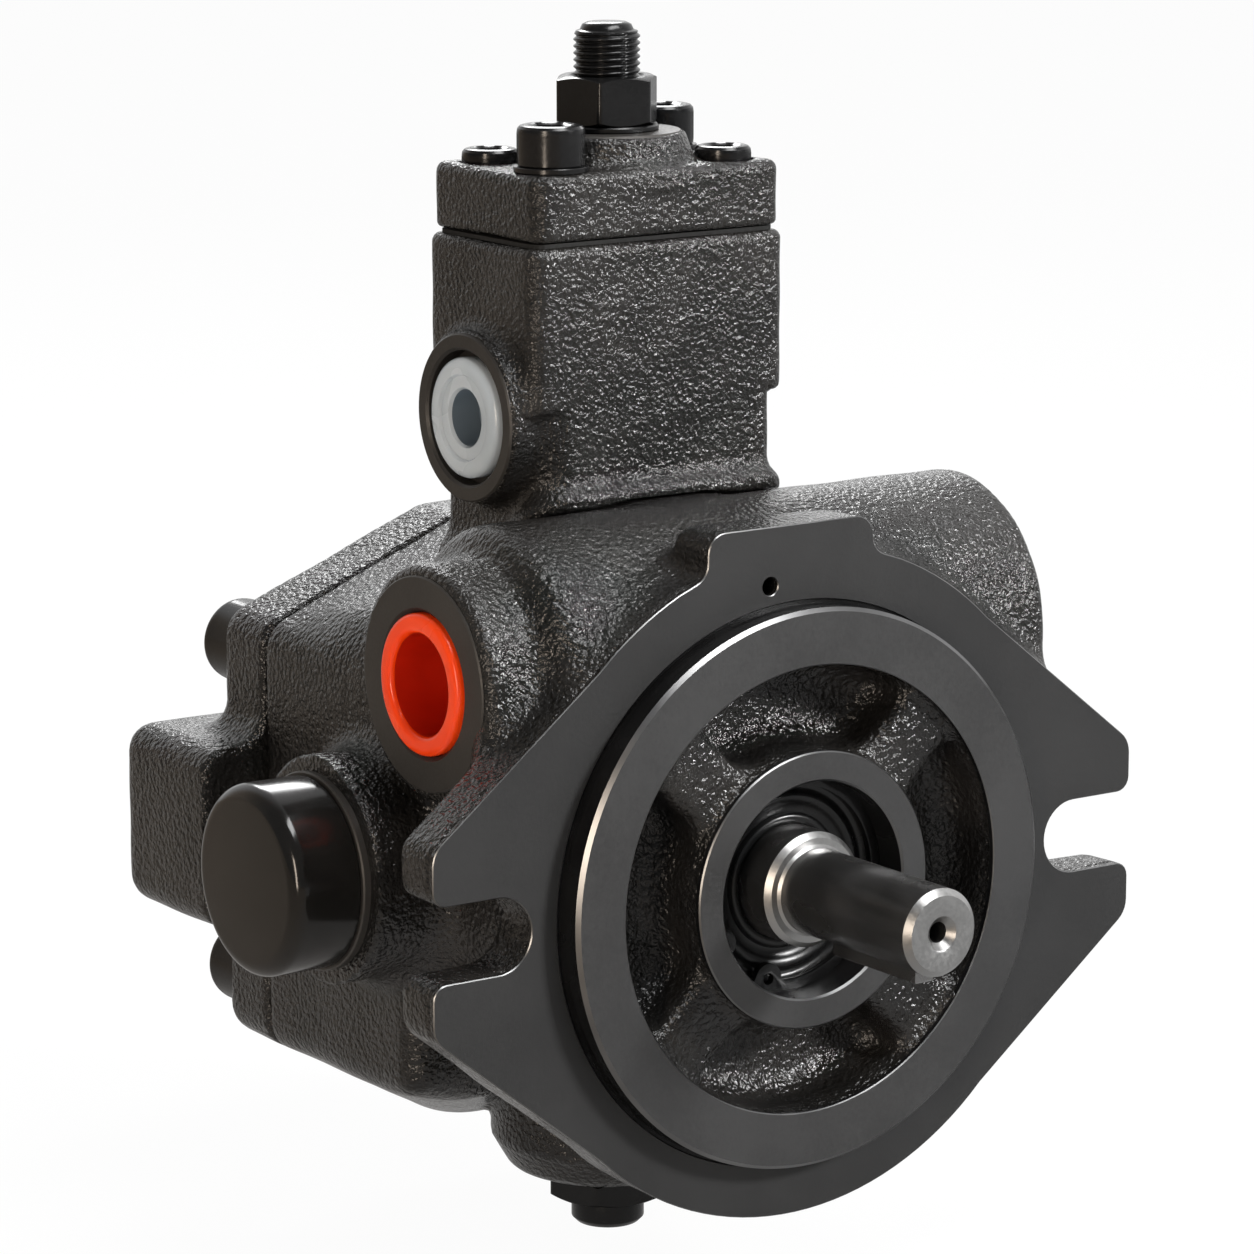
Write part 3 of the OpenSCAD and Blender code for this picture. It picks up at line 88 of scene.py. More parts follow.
def polygon(points):
    """The exact distance to a closed outline."""
    a = np.array(points, float)
    b = np.roll(a, -1, axis=0)

    def field(u, v):
        best, odd = None, None
        for (ax, ay), (bx, by) in zip(a, b):
            ex, ey = bx - ax, by - ay
            size = ex * ex + ey * ey
            if size < 1e-9:
                continue
            wx, wy = u - ax, v - ay
            t = np.clip((wx * ex + wy * ey) / size, 0, 1)
            near = (wx - ex * t) ** 2 + (wy - ey * t) ** 2
            best = near if best is None else np.minimum(best, near)
            if abs(ey) > 1e-9:
                hit = ((ay > v) != (by > v)) & (u < ex * (v - ay) / ey + ax)
                odd = hit if odd is None else odd ^ hit
        return np.where(odd, -1, 1) * np.sqrt(best)

    return field


def wave(x, y, z):
    """The slow unevenness of a cast wall."""
    return WAVE_HEIGHT * (np.sin(x * 0.37 + 1) * np.sin(y * 0.31 + 2)
                          + np.sin(y * 0.23 + z * 0.29) * np.sin(x * 0.19 - z * 0.33))


CORNERS = [(i, j, k) for i in (0, 1) for j in (0, 1) for k in (0, 1)]
EDGES = [(a, b) for a in range(8) for b in range(a + 1, 8)
         if sum(abs(p - q) for p, q in zip(CORNERS[a], CORNERS[b])) == 1]


def skin(field, low, high, step):
    """Points and quads of the field's zero surface: one point in each cell that it crosses."""
    axes = [np.arange(a - 1.5 * step, b + 2.5 * step, step) for a, b in zip(low, high)]
    x, y, z = np.meshgrid(*axes, indexing="ij", sparse=True)
    values = field(x, y, z) + np.zeros([len(a) for a in axes])
    inside = values < 0
    cut = [np.s_[:-1], np.s_[1:]]
    count = sum(inside[cut[i], cut[j], cut[k]].astype(np.int8) for i, j, k in CORNERS)
    active = (count > 0) & (count < 8)
    cells = np.argwhere(active)
    index = np.full(active.shape, -1, np.int64)
    index[active] = np.arange(len(cells))
    at = np.stack([values[cut[i], cut[j], cut[k]][active] for i, j, k in CORNERS], 1)
    total, hits = np.zeros((len(cells), 3)), np.zeros(len(cells))
    for a, b in EDGES:
        cross = (at[:, a] < 0) != (at[:, b] < 0)
        t = (at[cross, a] / (at[cross, a] - at[cross, b]))[:, None]
        total[cross] += np.array(CORNERS[a]) * (1 - t) + np.array(CORNERS[b]) * t
        hits[cross] += 1
    start = np.array([a[0] for a in axes])
    points = start + step * (cells + total / hits[:, None])
    points = settle(field, points, step)
    quads = []
    for axis in range(3):
        u, v = (axis + 1) % 3, (axis + 2) % 3
        before, after = [np.s_[:]] * 3, [np.s_[:]] * 3
        before[axis], after[axis] = cut
        a, b = inside[tuple(before)], inside[tuple(after)]
        e = np.argwhere(a != b)
        e = e[(e[:, u] > 0) & (e[:, v] > 0) & (e[:, u] < active.shape[u]) & (e[:, v] < active.shape[v])]
        one = np.eye(3, dtype=int)
        ring = [e - one[u] - one[v], e - one[v], e, e - one[u]]
        faces = np.stack([index[tuple(c.T)] for c in ring], 1)
        outward = a[tuple(e.T)]
        quads.append(np.where(outward[:, None], faces, faces[:, ::-1]))
    return points, np.concatenate(quads)


def settle(field, points, step):
    """Moves each point onto the field's surface, by half a cell at most."""
    x, y, z = points.T
    h = 0.02
    d = field(x, y, z)
    grad = np.stack([field(x + h, y, z) - d, field(x, y + h, z) - d, field(x, y, z + h) - d], 1) / h
    move = d[:, None] * grad / np.maximum((grad ** 2).sum(1), 0.2)[:, None]
    long = np.linalg.norm(move, axis=1)
    return points - move * np.minimum(1, step / 2 / np.maximum(long, 1e-9))[:, None]


# ---------------------------------------------------------------- outlines and pieces


def arc(cx, cy, r, start, end, steps):
    return [(cx + r * math.cos(math.radians(start + (end - start) * i / steps)),
             cy + r * math.sin(math.radians(start + (end - start) * i / steps))) for i in range(steps + 1)]


def outline(points, steps=5):
    """A closed outline from corners with their radii."""
    made, n = [], len(points)
    for i, (x, y, r) in enumerate(points):
        p = Vector((x, y))
        a, b = Vector(points[i - 1][:2]) - p, Vector(points[(i + 1) % n][:2]) - p
        if r <= 0 or a.length < 1e-6 or b.length < 1e-6:
            made.append((x, y))
            continue
        a.normalize()
        b.normalize()
        half = math.acos(max(-1, min(1, a.dot(b)))) / 2
        centre = p + (a + b).normalized() * r / math.sin(half)
        s, e = p + a * r / math.tan(half) - centre, p + b * r / math.tan(half) - centre
        a0 = math.atan2(s.y, s.x)
        turn = (math.atan2(e.y, e.x) - a0 + math.pi) % (2 * math.pi) - math.pi
        made += [(centre.x + r * math.cos(a0 + turn * k / steps), centre.y + r * math.sin(a0 + turn * k / steps))
                 for k in range(steps + 1)]
    return made


def circle(cx, cy, r, steps=96):
    return arc(cx, cy, r, 0, 360, steps)[:-1]


def finish(obj, body, materials, angle=30, replaces=()):
    """Materials, smooth shading and the ride of a new piece."""
    for m in materials:
        obj.data.materials.append(MATERIALS[m])
    obj.data.shade_smooth()
    obj.data.set_sharp_from_angle(angle=math.radians(angle))
    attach(obj, body)
    if replaces:
        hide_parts(*replaces)
    return obj


def new_object(name, mesh):
    obj = bpy.data.objects.new(name, mesh)
    bpy.context.scene.collection.objects.link(obj)
    return obj


def cast(name, field, low, high, step, body="casing", replaces=(), material="cast"):
    """A cast piece from its field."""
    points, quads = skin(lambda x, y, z: field(x, y, z) + wave(x, y, z), low, high, step)
    mesh = bpy.data.meshes.new(name)
    mesh.vertices.add(len(points))
    mesh.vertices.foreach_set("co", (points * MM).astype(np.float32).ravel())
    mesh.loops.add(quads.size)
    mesh.loops.foreach_set("vertex_index", quads.astype(np.int32).ravel())
    mesh.polygons.add(len(quads))
    mesh.polygons.foreach_set("loop_start", np.arange(0, quads.size, 4, dtype=np.int32))
    mesh.update(calc_edges=True)
    mesh.validate()
    print(name, "triangles", len(quads) * 2)
    return finish(new_object(name, mesh), body, [material], 50, replaces)


def tidy(mesh):
    """Merges points that coincide and turns the faces outwards."""
    bm = bmesh.new()
    bm.from_mesh(mesh)
    bmesh.ops.remove_doubles(bm, verts=bm.verts, dist=2e-6)
    bmesh.ops.recalc_face_normals(bm, faces=bm.faces)
    bm.to_mesh(mesh)
    bm.free()


def edges_bright(mesh, axis):
    """Gives the sloped faces, which are the broken edges of a turned or flat piece, the second material."""
    a = {"x": 0, "y": 1, "z": 2}[axis]
    for p in mesh.polygons:
        if 0.15 < abs(p.normal[a]) < 0.97:
            p.material_index = 1


def turned(name, rings, axis, centre, segments=96, closed=True):
    """A mesh from rings along an axis. A ring is (place, radius), and each can be a number or a function of the
    angle."""
    verts, faces, rows = [], [], []
    for t, r in rings:
        if not callable(r) and r < 1e-6:
            rows.append([len(verts)])
            verts.append((0.0, 0.0, t))
            continue
        row = []
        for i in range(segments):
            a = 2 * math.pi * i / segments
            rr = r(a) if callable(r) else r
            tt = t(a) if callable(t) else t
            row.append(len(verts))
            verts.append((rr * math.cos(a), rr * math.sin(a), tt))
        rows.append(row)
    pairs = list(zip(rows, rows[1:])) + ([(rows[-1], rows[0])] if closed else [])
    for low, high in pairs:
        if len(low) == 1 and len(high) == 1:
            continue
        for i in range(segments):
            j = (i + 1) % segments
            if len(low) == 1:
                faces.append((low[0], high[i], high[j]))
            elif len(high) == 1:
                faces.append((low[i], low[j], high[0]))
            else:
                faces.append((low[i], low[j], high[j], high[i]))
    place = {"z": lambda u, v, t: (u, v, t), "y": lambda u, v, t: (v, t, u), "x": lambda u, v, t: (t, u, v)}[axis]
    moved = []
    for p in verts:
        q = place(*p)
        moved.append([(q[k] + centre[k]) * MM for k in range(3)])
    mesh = bpy.data.meshes.new(name)
    mesh.from_pydata(moved, [], faces)
    tidy(mesh)
    return mesh


def lathe(name, profile, axis, centre, body, materials, replaces=(), segments=96, closed=True, angle=30):
    """A turned piece from (radius, place) points."""
    mesh = turned(name, [(t, r) for r, t in profile], axis, centre, segments, closed)
    if len(materials) > 1:
        edges_bright(mesh, axis)
    return finish(new_object(name, mesh), body, materials, angle, replaces)


def plate(name, loops, t0, t1, bevel, axis="y", centre=(0, 0, 0)):
    """A flat piece with holes and broken edges. Loops are in x and z for the axis y, x and y for z, y and z for x."""
    curve = bpy.data.curves.new(name, "CURVE")
    curve.dimensions, curve.fill_mode = "2D", "BOTH"
    for loop in loops:
        spline = curve.splines.new("POLY")
        spline.points.add(len(loop) - 1)
        for point, (u, v) in zip(spline.points, loop):
            point.co = (u, v, 0, 1)
        spline.use_cyclic_u = True
    curve.extrude, curve.bevel_depth, curve.offset = (t1 - t0) / 2 - bevel, bevel, -bevel
    curve.bevel_resolution = 0
    holder = new_object(name + "_curve", curve)
    bpy.context.view_layer.update()
    mesh = bpy.data.meshes.new_from_object(holder.evaluated_get(bpy.context.evaluated_depsgraph_get()))
    bpy.data.objects.remove(holder)
    bpy.data.curves.remove(curve)
    turn = {"y": Matrix.Rotation(math.pi / 2, 4, "X"), "z": Matrix.Identity(4),
            "x": Matrix(((0, 0, 1, 0), (1, 0, 0, 0), (0, 1, 0, 0), (0, 0, 0, 1)))}[axis]
    along = {"x": Vector((1, 0, 0)), "y": Vector((0, 1, 0)), "z": Vector((0, 0, 1))}[axis]
    mesh.transform(Matrix.Scale(MM, 4) @ Matrix.Translation(along * (t0 + t1) / 2 + Vector(centre)) @ turn)
    mesh.materials.clear()
    mesh.name = name
    tidy(mesh)
    return mesh


def repeat(name, template, places, body, materials, replaces=(), angle=30):
    """Copies of a small mesh at several places, made by Geometry Nodes and kept as one plain mesh."""
    tree = bpy.data.node_groups.new(name + "_places", "GeometryNodeTree")
    face = tree.interface
    face.new_socket(name="Places", in_out="INPUT", socket_type="NodeSocketGeometry")
    shape_in = face.new_socket(name="Shape", in_out="INPUT", socket_type="NodeSocketObject")
    size_in = face.new_socket(name="Size", in_out="INPUT", socket_type="NodeSocketFloat")
    face.new_socket(name="Geometry", in_out="OUTPUT", socket_type="NodeSocketGeometry")
    into, out = tree.nodes.new("NodeGroupInput"), tree.nodes.new("NodeGroupOutput")
    info = tree.nodes.new("GeometryNodeObjectInfo")
    copies = tree.nodes.new("GeometryNodeInstanceOnPoints")
    real = tree.nodes.new("GeometryNodeRealizeInstances")
    paint = tree.nodes.new("GeometryNodeSetMaterial")
    paint.inputs["Material"].default_value = MATERIALS[materials[0]]
    link = tree.links.new
    link(into.outputs["Places"], copies.inputs["Points"])
    link(into.outputs["Shape"], info.inputs["Object"])
    link(info.outputs["Geometry"], copies.inputs["Instance"])
    link(into.outputs["Size"], copies.inputs["Scale"])
    link(copies.outputs["Instances"], real.inputs["Geometry"])
    link(real.outputs["Geometry"], paint.inputs["Geometry"])
    link(paint.outputs["Geometry"], out.inputs["Geometry"])
    shape = new_object(name + "_shape", template)
    spots = bpy.data.meshes.new(name + "_spots")
    spots.from_pydata([tuple(c * MM for c in p) for p in places], [], [])
    host = new_object(name + "_host", spots)
    mod = host.modifiers.new("places", "NODES")
    mod.node_group = tree
    mod[shape_in.identifier] = shape
    mod[size_in.identifier] = 1.0
    bpy.context.view_layer.update()
    mesh = bpy.data.meshes.new_from_object(host.evaluated_get(bpy.context.evaluated_depsgraph_get()))
    host.modifiers.clear()
    bpy.data.objects.remove(host)
    bpy.data.objects.remove(shape)
    mesh.name = name
    mesh.materials.clear()
    return finish(new_object(name, mesh), body, materials, angle, replaces)


def refine(node, body, materials, width=0.15, angle=30):
    """A CAD node's shape with merged points and slightly broken edges."""
    mesh = NODES[node].data.copy()
    mesh.materials.clear()
    mesh.name = node + "_fine"
    bm = bmesh.new()
    bm.from_mesh(mesh)
    bmesh.ops.remove_doubles(bm, verts=bm.verts, dist=1e-6)
    bmesh.ops.dissolve_limit(bm, angle_limit=math.radians(0.5), verts=bm.verts, edges=bm.edges)
    bm.to_mesh(mesh)
    bm.free()
    obj = new_object(node + "_fine", mesh)
    if width:
        mod = obj.modifiers.new("edges", "BEVEL")
        mod.width, mod.segments, mod.limit_method = width * MM, 2, "ANGLE"
        mod.angle_limit = math.radians(angle)
        bpy.context.view_layer.update()
        fine = bpy.data.meshes.new_from_object(obj.evaluated_get(bpy.context.evaluated_depsgraph_get()))
        obj.modifiers.clear()
        obj.data = fine
    return finish(obj, body, materials, angle, [node])


# ---------------------------------------------------------------- materials


class Value:
    """A shader socket that takes part in sums."""

    def __init__(self, tree, socket):
        self.tree, self.socket = tree, socket

    def node(self, kind, settings=None, out=0, **values):
        made = self.tree.nodes.new(kind)
        for k, v in (settings or {}).items():
            setattr(made, k, v)
        for k, v in values.items():
            key = int(k[1:]) if k[0] == "_" and k[1:].isdigit() else k.replace("_", " ")
            if isinstance(v, Value):
                self.tree.links.new(v.socket, made.inputs[key])
            else:
                made.inputs[key].default_value = v
        return Value(self.tree, made.outputs[out])

    def math(self, operation, a, b):
        return self.node("ShaderNodeMath", {"operation": operation}, _0=a, _1=b)

    def __add__(self, other):
        return self.math("ADD", self, other)

    __radd__ = __add__

    def __sub__(self, other):
        return self.math("SUBTRACT", self, other)

    def __rsub__(self, other):
        return self.math("SUBTRACT", other, self)

    def __mul__(self, other):
        return self.math("MULTIPLY", self, other)

    __rmul__ = __mul__

    def between(self, low, high):
        """0 below low, 1 above high."""
        return self.node("ShaderNodeMapRange", {"interpolation_type": "SMOOTHSTEP"}, Value=self, From_Min=low,
                         From_Max=high)

    def mix(self, first, second):
        """A colour between two, by this value."""
        made = self.tree.nodes.new("ShaderNodeMix")
        made.data_type = "RGBA"
        self.tree.links.new(self.socket, made.inputs["Factor"])
        for key, v in (("A", first), ("B", second)):
            socket = [s for s in made.inputs if s.name == key and s.type == "RGBA"][0]
            socket.default_value = (*v, 1)
        return Value(self.tree, [s for s in made.outputs if s.type == "RGBA"][0])


MATERIALS, SLOTS = {}, {}


def material(name, slot, base, rough, metal=0.0, coat=0.0, alpha=1.0, specular=0.5, dress=None, **sockets):
    m = bpy.data.materials.new(name)
    m.use_nodes = True
    tree = m.node_tree
    shader = tree.nodes["Principled BSDF"]
    put = {"Base Color": (*base, 1), "Roughness": rough, "Metallic": metal, "Coat Weight": coat, "Alpha": alpha,
           "Specular IOR Level": specular, **{k.replace("_", " "): v for k, v in sockets.items()}}
    for k, v in put.items():
        shader.inputs[k].default_value = v
    if dress:
        coords = tree.nodes.new("ShaderNodeTexCoord")
        for k, v in dress(Value(tree, coords.outputs["Object"])).items():
            tree.links.new(v.socket, shader.inputs[k])
    MATERIALS[name], SLOTS[name] = m, slot
    return m


def noise(at, scale, detail=2.0, rough=0.5):
    return at.node("ShaderNodeTexNoise", Vector=at, Scale=scale, Detail=detail, Roughness=rough)


def bump(at, height, distance, strength=1.0):
    return at.node("ShaderNodeBump", Height=height, Distance=distance, Strength=strength)


def pebbled(dark, light, size, depth, low, high):
    """Gloss paint over a sand cast skin: round lumps of about the size in metres, finer grit and duller patches."""
    def dress(at):
        lumps = noise(at, 1 / size, 1.0, 0.5)
        pebbles = at.node("ShaderNodeTexVoronoi", {"feature": "SMOOTH_F1"}, Vector=at, Scale=0.8 / size, Smoothness=0.6)
        grit = noise(at, 2.6 / size, 1.5, 0.55)
        broad = noise(at, 70, 2.0, 0.5)
        height = lumps + grit * 0.28 - pebbles * 0.45
        return {"Base Color": broad.between(0.35, 0.65).mix(dark, light),
                "Roughness": low + (grit * 0.6 + broad * 0.4).between(0.35, 0.65) * (high - low),
                "Normal": bump(at, height, depth)}
    return dress


def ground(dark, light, low, high, size=0.0005, depth=0.00001):
    """A machined or ground face with a fine grain."""
    def dress(at):
        grain = noise(at, 1 / size, 3.0, 0.6)
        broad = noise(at, 45, 3.0, 0.55)
        return {"Base Color": (broad * 0.7 + grain * 0.3).between(0.35, 0.65).mix(dark, light),
                "Roughness": low + grain.between(0.3, 0.7) * (high - low),
                "Normal": bump(at, grain, depth)}
    return dress


def smooth(dark, light, low, high):
    """A polished or moulded face: only slow changes of tone and gloss."""
    def dress(at):
        broad = noise(at, 90, 2.0, 0.5)
        return {"Base Color": broad.between(0.3, 0.7).mix(dark, light),
                "Roughness": low + broad.between(0.3, 0.7) * (high - low)}
    return dress


CAST_TONES = (0.007, 0.0067, 0.0063), (0.014, 0.013, 0.012)
material("cast", "cast_black", (0.02, 0.0195, 0.019), 0.2, specular=0.38,
         dress=pebbled(*CAST_TONES, 0.00078, 0.00042, 0.12, 0.19))
material("cast_fine", "cast_black", (0.02, 0.0195, 0.019), 0.2, specular=0.38,
         dress=pebbled(*CAST_TONES, 0.00066, 0.00036, 0.12, 0.19))
material("face", "cast_black", (0.02, 0.02, 0.0205), 0.5, metal=0.3, specular=0.34,
         dress=ground((0.017, 0.017, 0.0172), (0.022, 0.022, 0.0222), 0.44, 0.56))
material("ring", "cast_black", (0.04, 0.04, 0.0405), 0.45, metal=0.5, specular=0.36,
         dress=ground((0.034, 0.034, 0.0344), (0.045, 0.045, 0.0454), 0.38, 0.48))
material("port_face", "cast_black", (0.04, 0.037, 0.034), 0.5, metal=0.3, specular=0.4,
         dress=ground((0.026, 0.024, 0.022), (0.038, 0.035, 0.032), 0.42, 0.54))
# A brighter, fully metal copy of the machined faces for the chamfers: a painted highlight along the edges.
material("edge", "cast_black", (0.16, 0.16, 0.162), 0.34, metal=1.0,
         dress=smooth((0.14, 0.14, 0.141), (0.19, 0.19, 0.191), 0.28, 0.36))
# A near-black, dull copy of the machined iron for the bore walls, the faces inside the hub and the pilot's side:
# painted shade.
material("bore", "cast_black", (0.01, 0.01, 0.0103), 0.25, specular=0.16,
         dress=smooth((0.004, 0.004, 0.0042), (0.007, 0.007, 0.0072), 0.2, 0.3))
material("black_steel", "black_steel", (0.014, 0.014, 0.015), 0.2, specular=0.28,
         dress=ground((0.003, 0.003, 0.0032), (0.006, 0.006, 0.0062), 0.16, 0.25))
material("shaft", "shaft_steel", (0.24, 0.24, 0.242), 0.24, metal=0.95,
         dress=smooth((0.21, 0.208, 0.206), (0.26, 0.257, 0.254), 0.22, 0.30))
material("bright", "bright_steel", (0.30, 0.30, 0.305), 0.3, metal=1.0,
         dress=ground((0.31, 0.308, 0.304), (0.38, 0.377, 0.372), 0.28, 0.38))
material("ring_steel", "ring_steel", (0.4, 0.41, 0.43), 0.3, metal=1.0,
         dress=ground((0.36, 0.37, 0.39), (0.44, 0.45, 0.47), 0.26, 0.38))
material("bronze", "bronze", (0.5, 0.33, 0.14), 0.35, metal=1.0,
         dress=ground((0.45, 0.29, 0.12), (0.55, 0.37, 0.17), 0.3, 0.42))
material("rubber", "seal_rubber", (0.008, 0.008, 0.008), 0.25, specular=0.34,
         dress=smooth((0.004, 0.004, 0.0042), (0.007, 0.007, 0.0072), 0.2, 0.3))
material("gasket", "gasket", (0.02, 0.02, 0.02), 0.8, specular=0.3,
         dress=ground((0.006, 0.006, 0.006), (0.012, 0.012, 0.0115), 0.7, 0.9))
material("cap", "cap_plastic", (0.010, 0.009, 0.008), 0.2, specular=0.32,
         dress=smooth((0.006, 0.0056, 0.0052), (0.009, 0.0084, 0.0077), 0.12, 0.19))
material("orange", "plug_orange", (0.83, 0.1, 0.02), 0.3, specular=0.32,
         dress=smooth((0.74, 0.042, 0.003), (0.82, 0.056, 0.005), 0.2, 0.3),
         Subsurface_Weight=0.06, Subsurface_Radius=(0.003, 0.0008, 0.0004), Subsurface_Scale=1.0)
# A darker copy of the plug's orange for the inside of the cup: painted shade.
material("orange_shaded", "plug_orange", (0.40, 0.012, 0.004), 0.35, specular=0.3,
         dress=smooth((0.38, 0.008, 0.001), (0.46, 0.012, 0.002), 0.3, 0.4))
material("clear", "plug_clear", (0.42, 0.46, 0.49), 0.3, alpha=0.9,
         dress=smooth((0.40, 0.44, 0.47), (0.48, 0.52, 0.55), 0.2, 0.3),
         Subsurface_Weight=0.2, Subsurface_Radius=(0.002, 0.002, 0.002), Subsurface_Scale=1.0)
# A darker copy of the clear plastic for the plug's hole: painted shade.
material("clear_shaded", "plug_clear", (0.08, 0.10, 0.12), 0.3, alpha=0.95, specular=0.36,
         dress=smooth((0.055, 0.075, 0.095), (0.085, 0.11, 0.135), 0.26, 0.36))

# The CAD nodes that stay as they are get the material of their slot
for entry in frame["record"]["subparts"]:
    wanted = next(m for m, s in SLOTS.items() if s == entry["material_slot"])
    data = NODES[entry["node"]].data
    data.materials.clear()
    data.materials.append(MATERIALS[wanted])

# ---------------------------------------------------------------- the castings

EAR_TURN = 45.84
FLANGE_LOOP = outline(
    [(13.3, 53, 3), (13.3, 47.68, 3)]
    + [(x, y, 0) for x, y in arc(0, 0, 49.5, 68, EAR_TURN, 8)]
    + [(62.5, 13.3, 4), (62.5, 5.55, 2.2)]
    + [(x, y, 0) for x, y in arc(51.7, 0, 5.55, 90, 270, 20)]
    + [(62.5, -5.55, 2.2), (62.5, -13.3, 4)]
    + [(x, y, 0) for x, y in arc(0, 0, 49.5, -EAR_TURN, EAR_TURN - 180, 32)]
    + [(-62.5, -13.3, 4), (-62.5, -5.55, 2.2)]
    + [(x, y, 0) for x, y in arc(-51.7, 0, 5.55, -90, 90, 20)]
    + [(-62.5, 5.55, 2.2), (-62.5, 13.3, 4)]
    + [(x, y, 0) for x, y in arc(0, 0, 49.5, 180 - EAR_TURN, 115, 8)]
    + [(-16.0, 46.84, 3), (-16.0, 53, 3)])
JOINT_LOOP = outline([(-6, 43.2, 5), (-41.3, 29.2, 5), (-41.3, -35.2, 5), (-14, -50.6, 5),
                      (14, -50.6, 5), (41.3, -35.2, 5), (41.3, 29.2, 5), (6, 43.2, 5)])
FLANGE, JOINT = polygon(FLANGE_LOOP), polygon(JOINT_LOOP)
# The places of the joint and of the lines that the ports, screws and plugs share
REAR_Y, ADJUST_Y, THRUST_Z, DRAIN_Z = 80.0, 48.2, -0.4, 64.2
PORT_Y, PORT_Z = 25, 31
COVER_TOP, COVER_SCREW_X, COVER_SCREW_OUT = 100.6, 15.4, 8
VENT = (-5.1, 44.4)
REAR_SCREWS = [(s * 33.4, h) for s in (-1, 1) for h in (23.2, -28.3)]


def roof_field(x, y, z):
    side = np.abs(x)
    zz = z - 8 * (REAR_Y - y) / 50
    top = np.maximum(zz - 43.2, (side - 6) * 0.3687 + (zz - 43.2) * 0.9296) * 0.987
    return np.maximum(meet(meet(top, side - 38.8, 4), 30 - y, 4), -z)


def gallery_field(x, y, z):
    return meet(bar(y - PORT_Y, z - PORT_Z, 21.5), slab(x, -38, 49.2), np.where(x < 0, 4.0, 2.0))


def upper_field(x, y, z):
    """The body's top, on which the spring housing stands."""
    return join(roof_field(x, y, z), gallery_field(x, y, z), 4)


def body_field(x, y, z):
    flange = meet(FLANGE(x, z) + 0.08, y - 10, 2.6)
    neck = np.maximum(bar(x, z, 39.5), y - 41)
    wide = meet(meet(JOINT(x, z), 39 - y, 4), (39 - y - 2.1 * (36 + z)) / 2.33, 4)
    fade = np.clip((REAR_Y - y) / 18, 0, 1)
    d = join(neck, wide, 4)
    d = join(d, roof_field(x, y, z), 4 * fade)
    d = join(d, gallery_field(x, y, z), 4)
    d = join(d, np.maximum(meet(bar(y - PORT_Y, z - PORT_Z, 17.2), -47.7 - x, 1.6), x + 30), 2.5)
    d = join(d, np.maximum(np.maximum(bar(y - ADJUST_Y, z - THRUST_Z, 17), -51.6 - x), x + 30), 4.5)
    r = 18.05 - 3.2 * np.clip((-48.5 - z) / 5.5, 0, 1)
    d = join(d, np.maximum(meet(bar(x, y - ADJUST_Y, r) * 0.9, -54 - z, 1.5), z + 30), 1.2)
    d = join(d, flange, 4)
    d = np.maximum(meet(d, y - REAR_Y + 0.3, 0.8), 0.75 - y)
    d = np.minimum(d, np.maximum(bar(x, z, 40.3), slab(y, -3.8, 9)))
    # the cast pockets round the hub, with their ribs
    ring = np.abs(np.hypot(x, z) - 26.7) - 6.3
    rib = 5.4 - np.minimum(np.abs(x - z), np.abs(x + z)) * math.sqrt(0.5)
    hollow = meet(meet(ring, y - 6.3, 4.4), rib, 3.6)
    hollow = join(hollow, meet(ring, y + 2.2, 1.2), 2.2)
    d = np.maximum(d, -np.maximum(hollow, -5 - y))
    # the bores
    d = np.maximum(d, -np.maximum(bar(x, z, 17.3), y - 14.5))
    d = np.maximum(d, -np.maximum(bar(x, z, 17.6), slab(y, 13.9, 27)))
    d = np.maximum(d, -np.maximum(bar(x, z, 33.0), 30 - y - 4.2))
    d = np.maximum(d, -np.maximum(bar(y - PORT_Y, z - PORT_Z, 11.4), x + 28.4))
    d = np.maximum(d, -np.maximum(bar(y - PORT_Y, z - PORT_Z, 14.1), 29.4 - x))
    d = np.maximum(d, -np.maximum(bar(y - ADJUST_Y, z - THRUST_Z, 6.5), x + 30))
    d = np.maximum(d, -np.maximum(bar(x, y - ADJUST_Y, 6.5), z + 30))
    d = np.maximum(d, -np.maximum(bar(x, y - ADJUST_Y, 8.6), 30 - z))
    d = np.maximum(d, -np.maximum(bar(x - VENT[0], z - VENT[1], 1.9), y - 7.2))
    seat = np.maximum(np.maximum(np.abs(x) - 19, slab(y - ADJUST_Y, -12.6, 11.6)), 43.4 - z)
    return np.maximum(d, -seat)


def rear_field(x, y, z):
    d = meet(JOINT(x, z), y - 93.4, 3)
    block = meet(meet(slab(x, -52, 24), slab(z, -17, 11.4), 4.5), y - 106.5, 4.5)
    block = meet(block, REAR_Y + 0.3 - y, 1.2)
    boss = meet(bar(x, z, 20), y - 106.5, 2)
    boss = np.maximum(boss, REAR_Y + 2 - y)
    d = join(d, join(block, boss, 3), 5)
    for screw_x, screw_z in REAR_SCREWS:
        d = np.maximum(d, -np.maximum(bar(x - screw_x, z - screw_z, 7.4), 93 - y))
    d = meet(d, REAR_Y + 0.3 - y, 0.8)
    spigot = np.maximum(bar(x, z, 32.9), slab(y, REAR_Y - 13.2, REAR_Y + 2))
    d = np.minimum(d, spigot)
    return np.maximum(d, -np.maximum(bar(x, z, 9.1), y - 86.4))


def foot_box(x, y, z):
    """The spring housing's foot, with a wider corner at the front left."""
    back = y - ADJUST_Y
    box = meet(np.abs(x) - 20.5, slab(back, -14.3, 13.3), 2.5)
    return np.maximum(box, np.where((x < -15.5) & (back < -9.3), bar(x + 15.5, back + 9.3, 5.0), box))


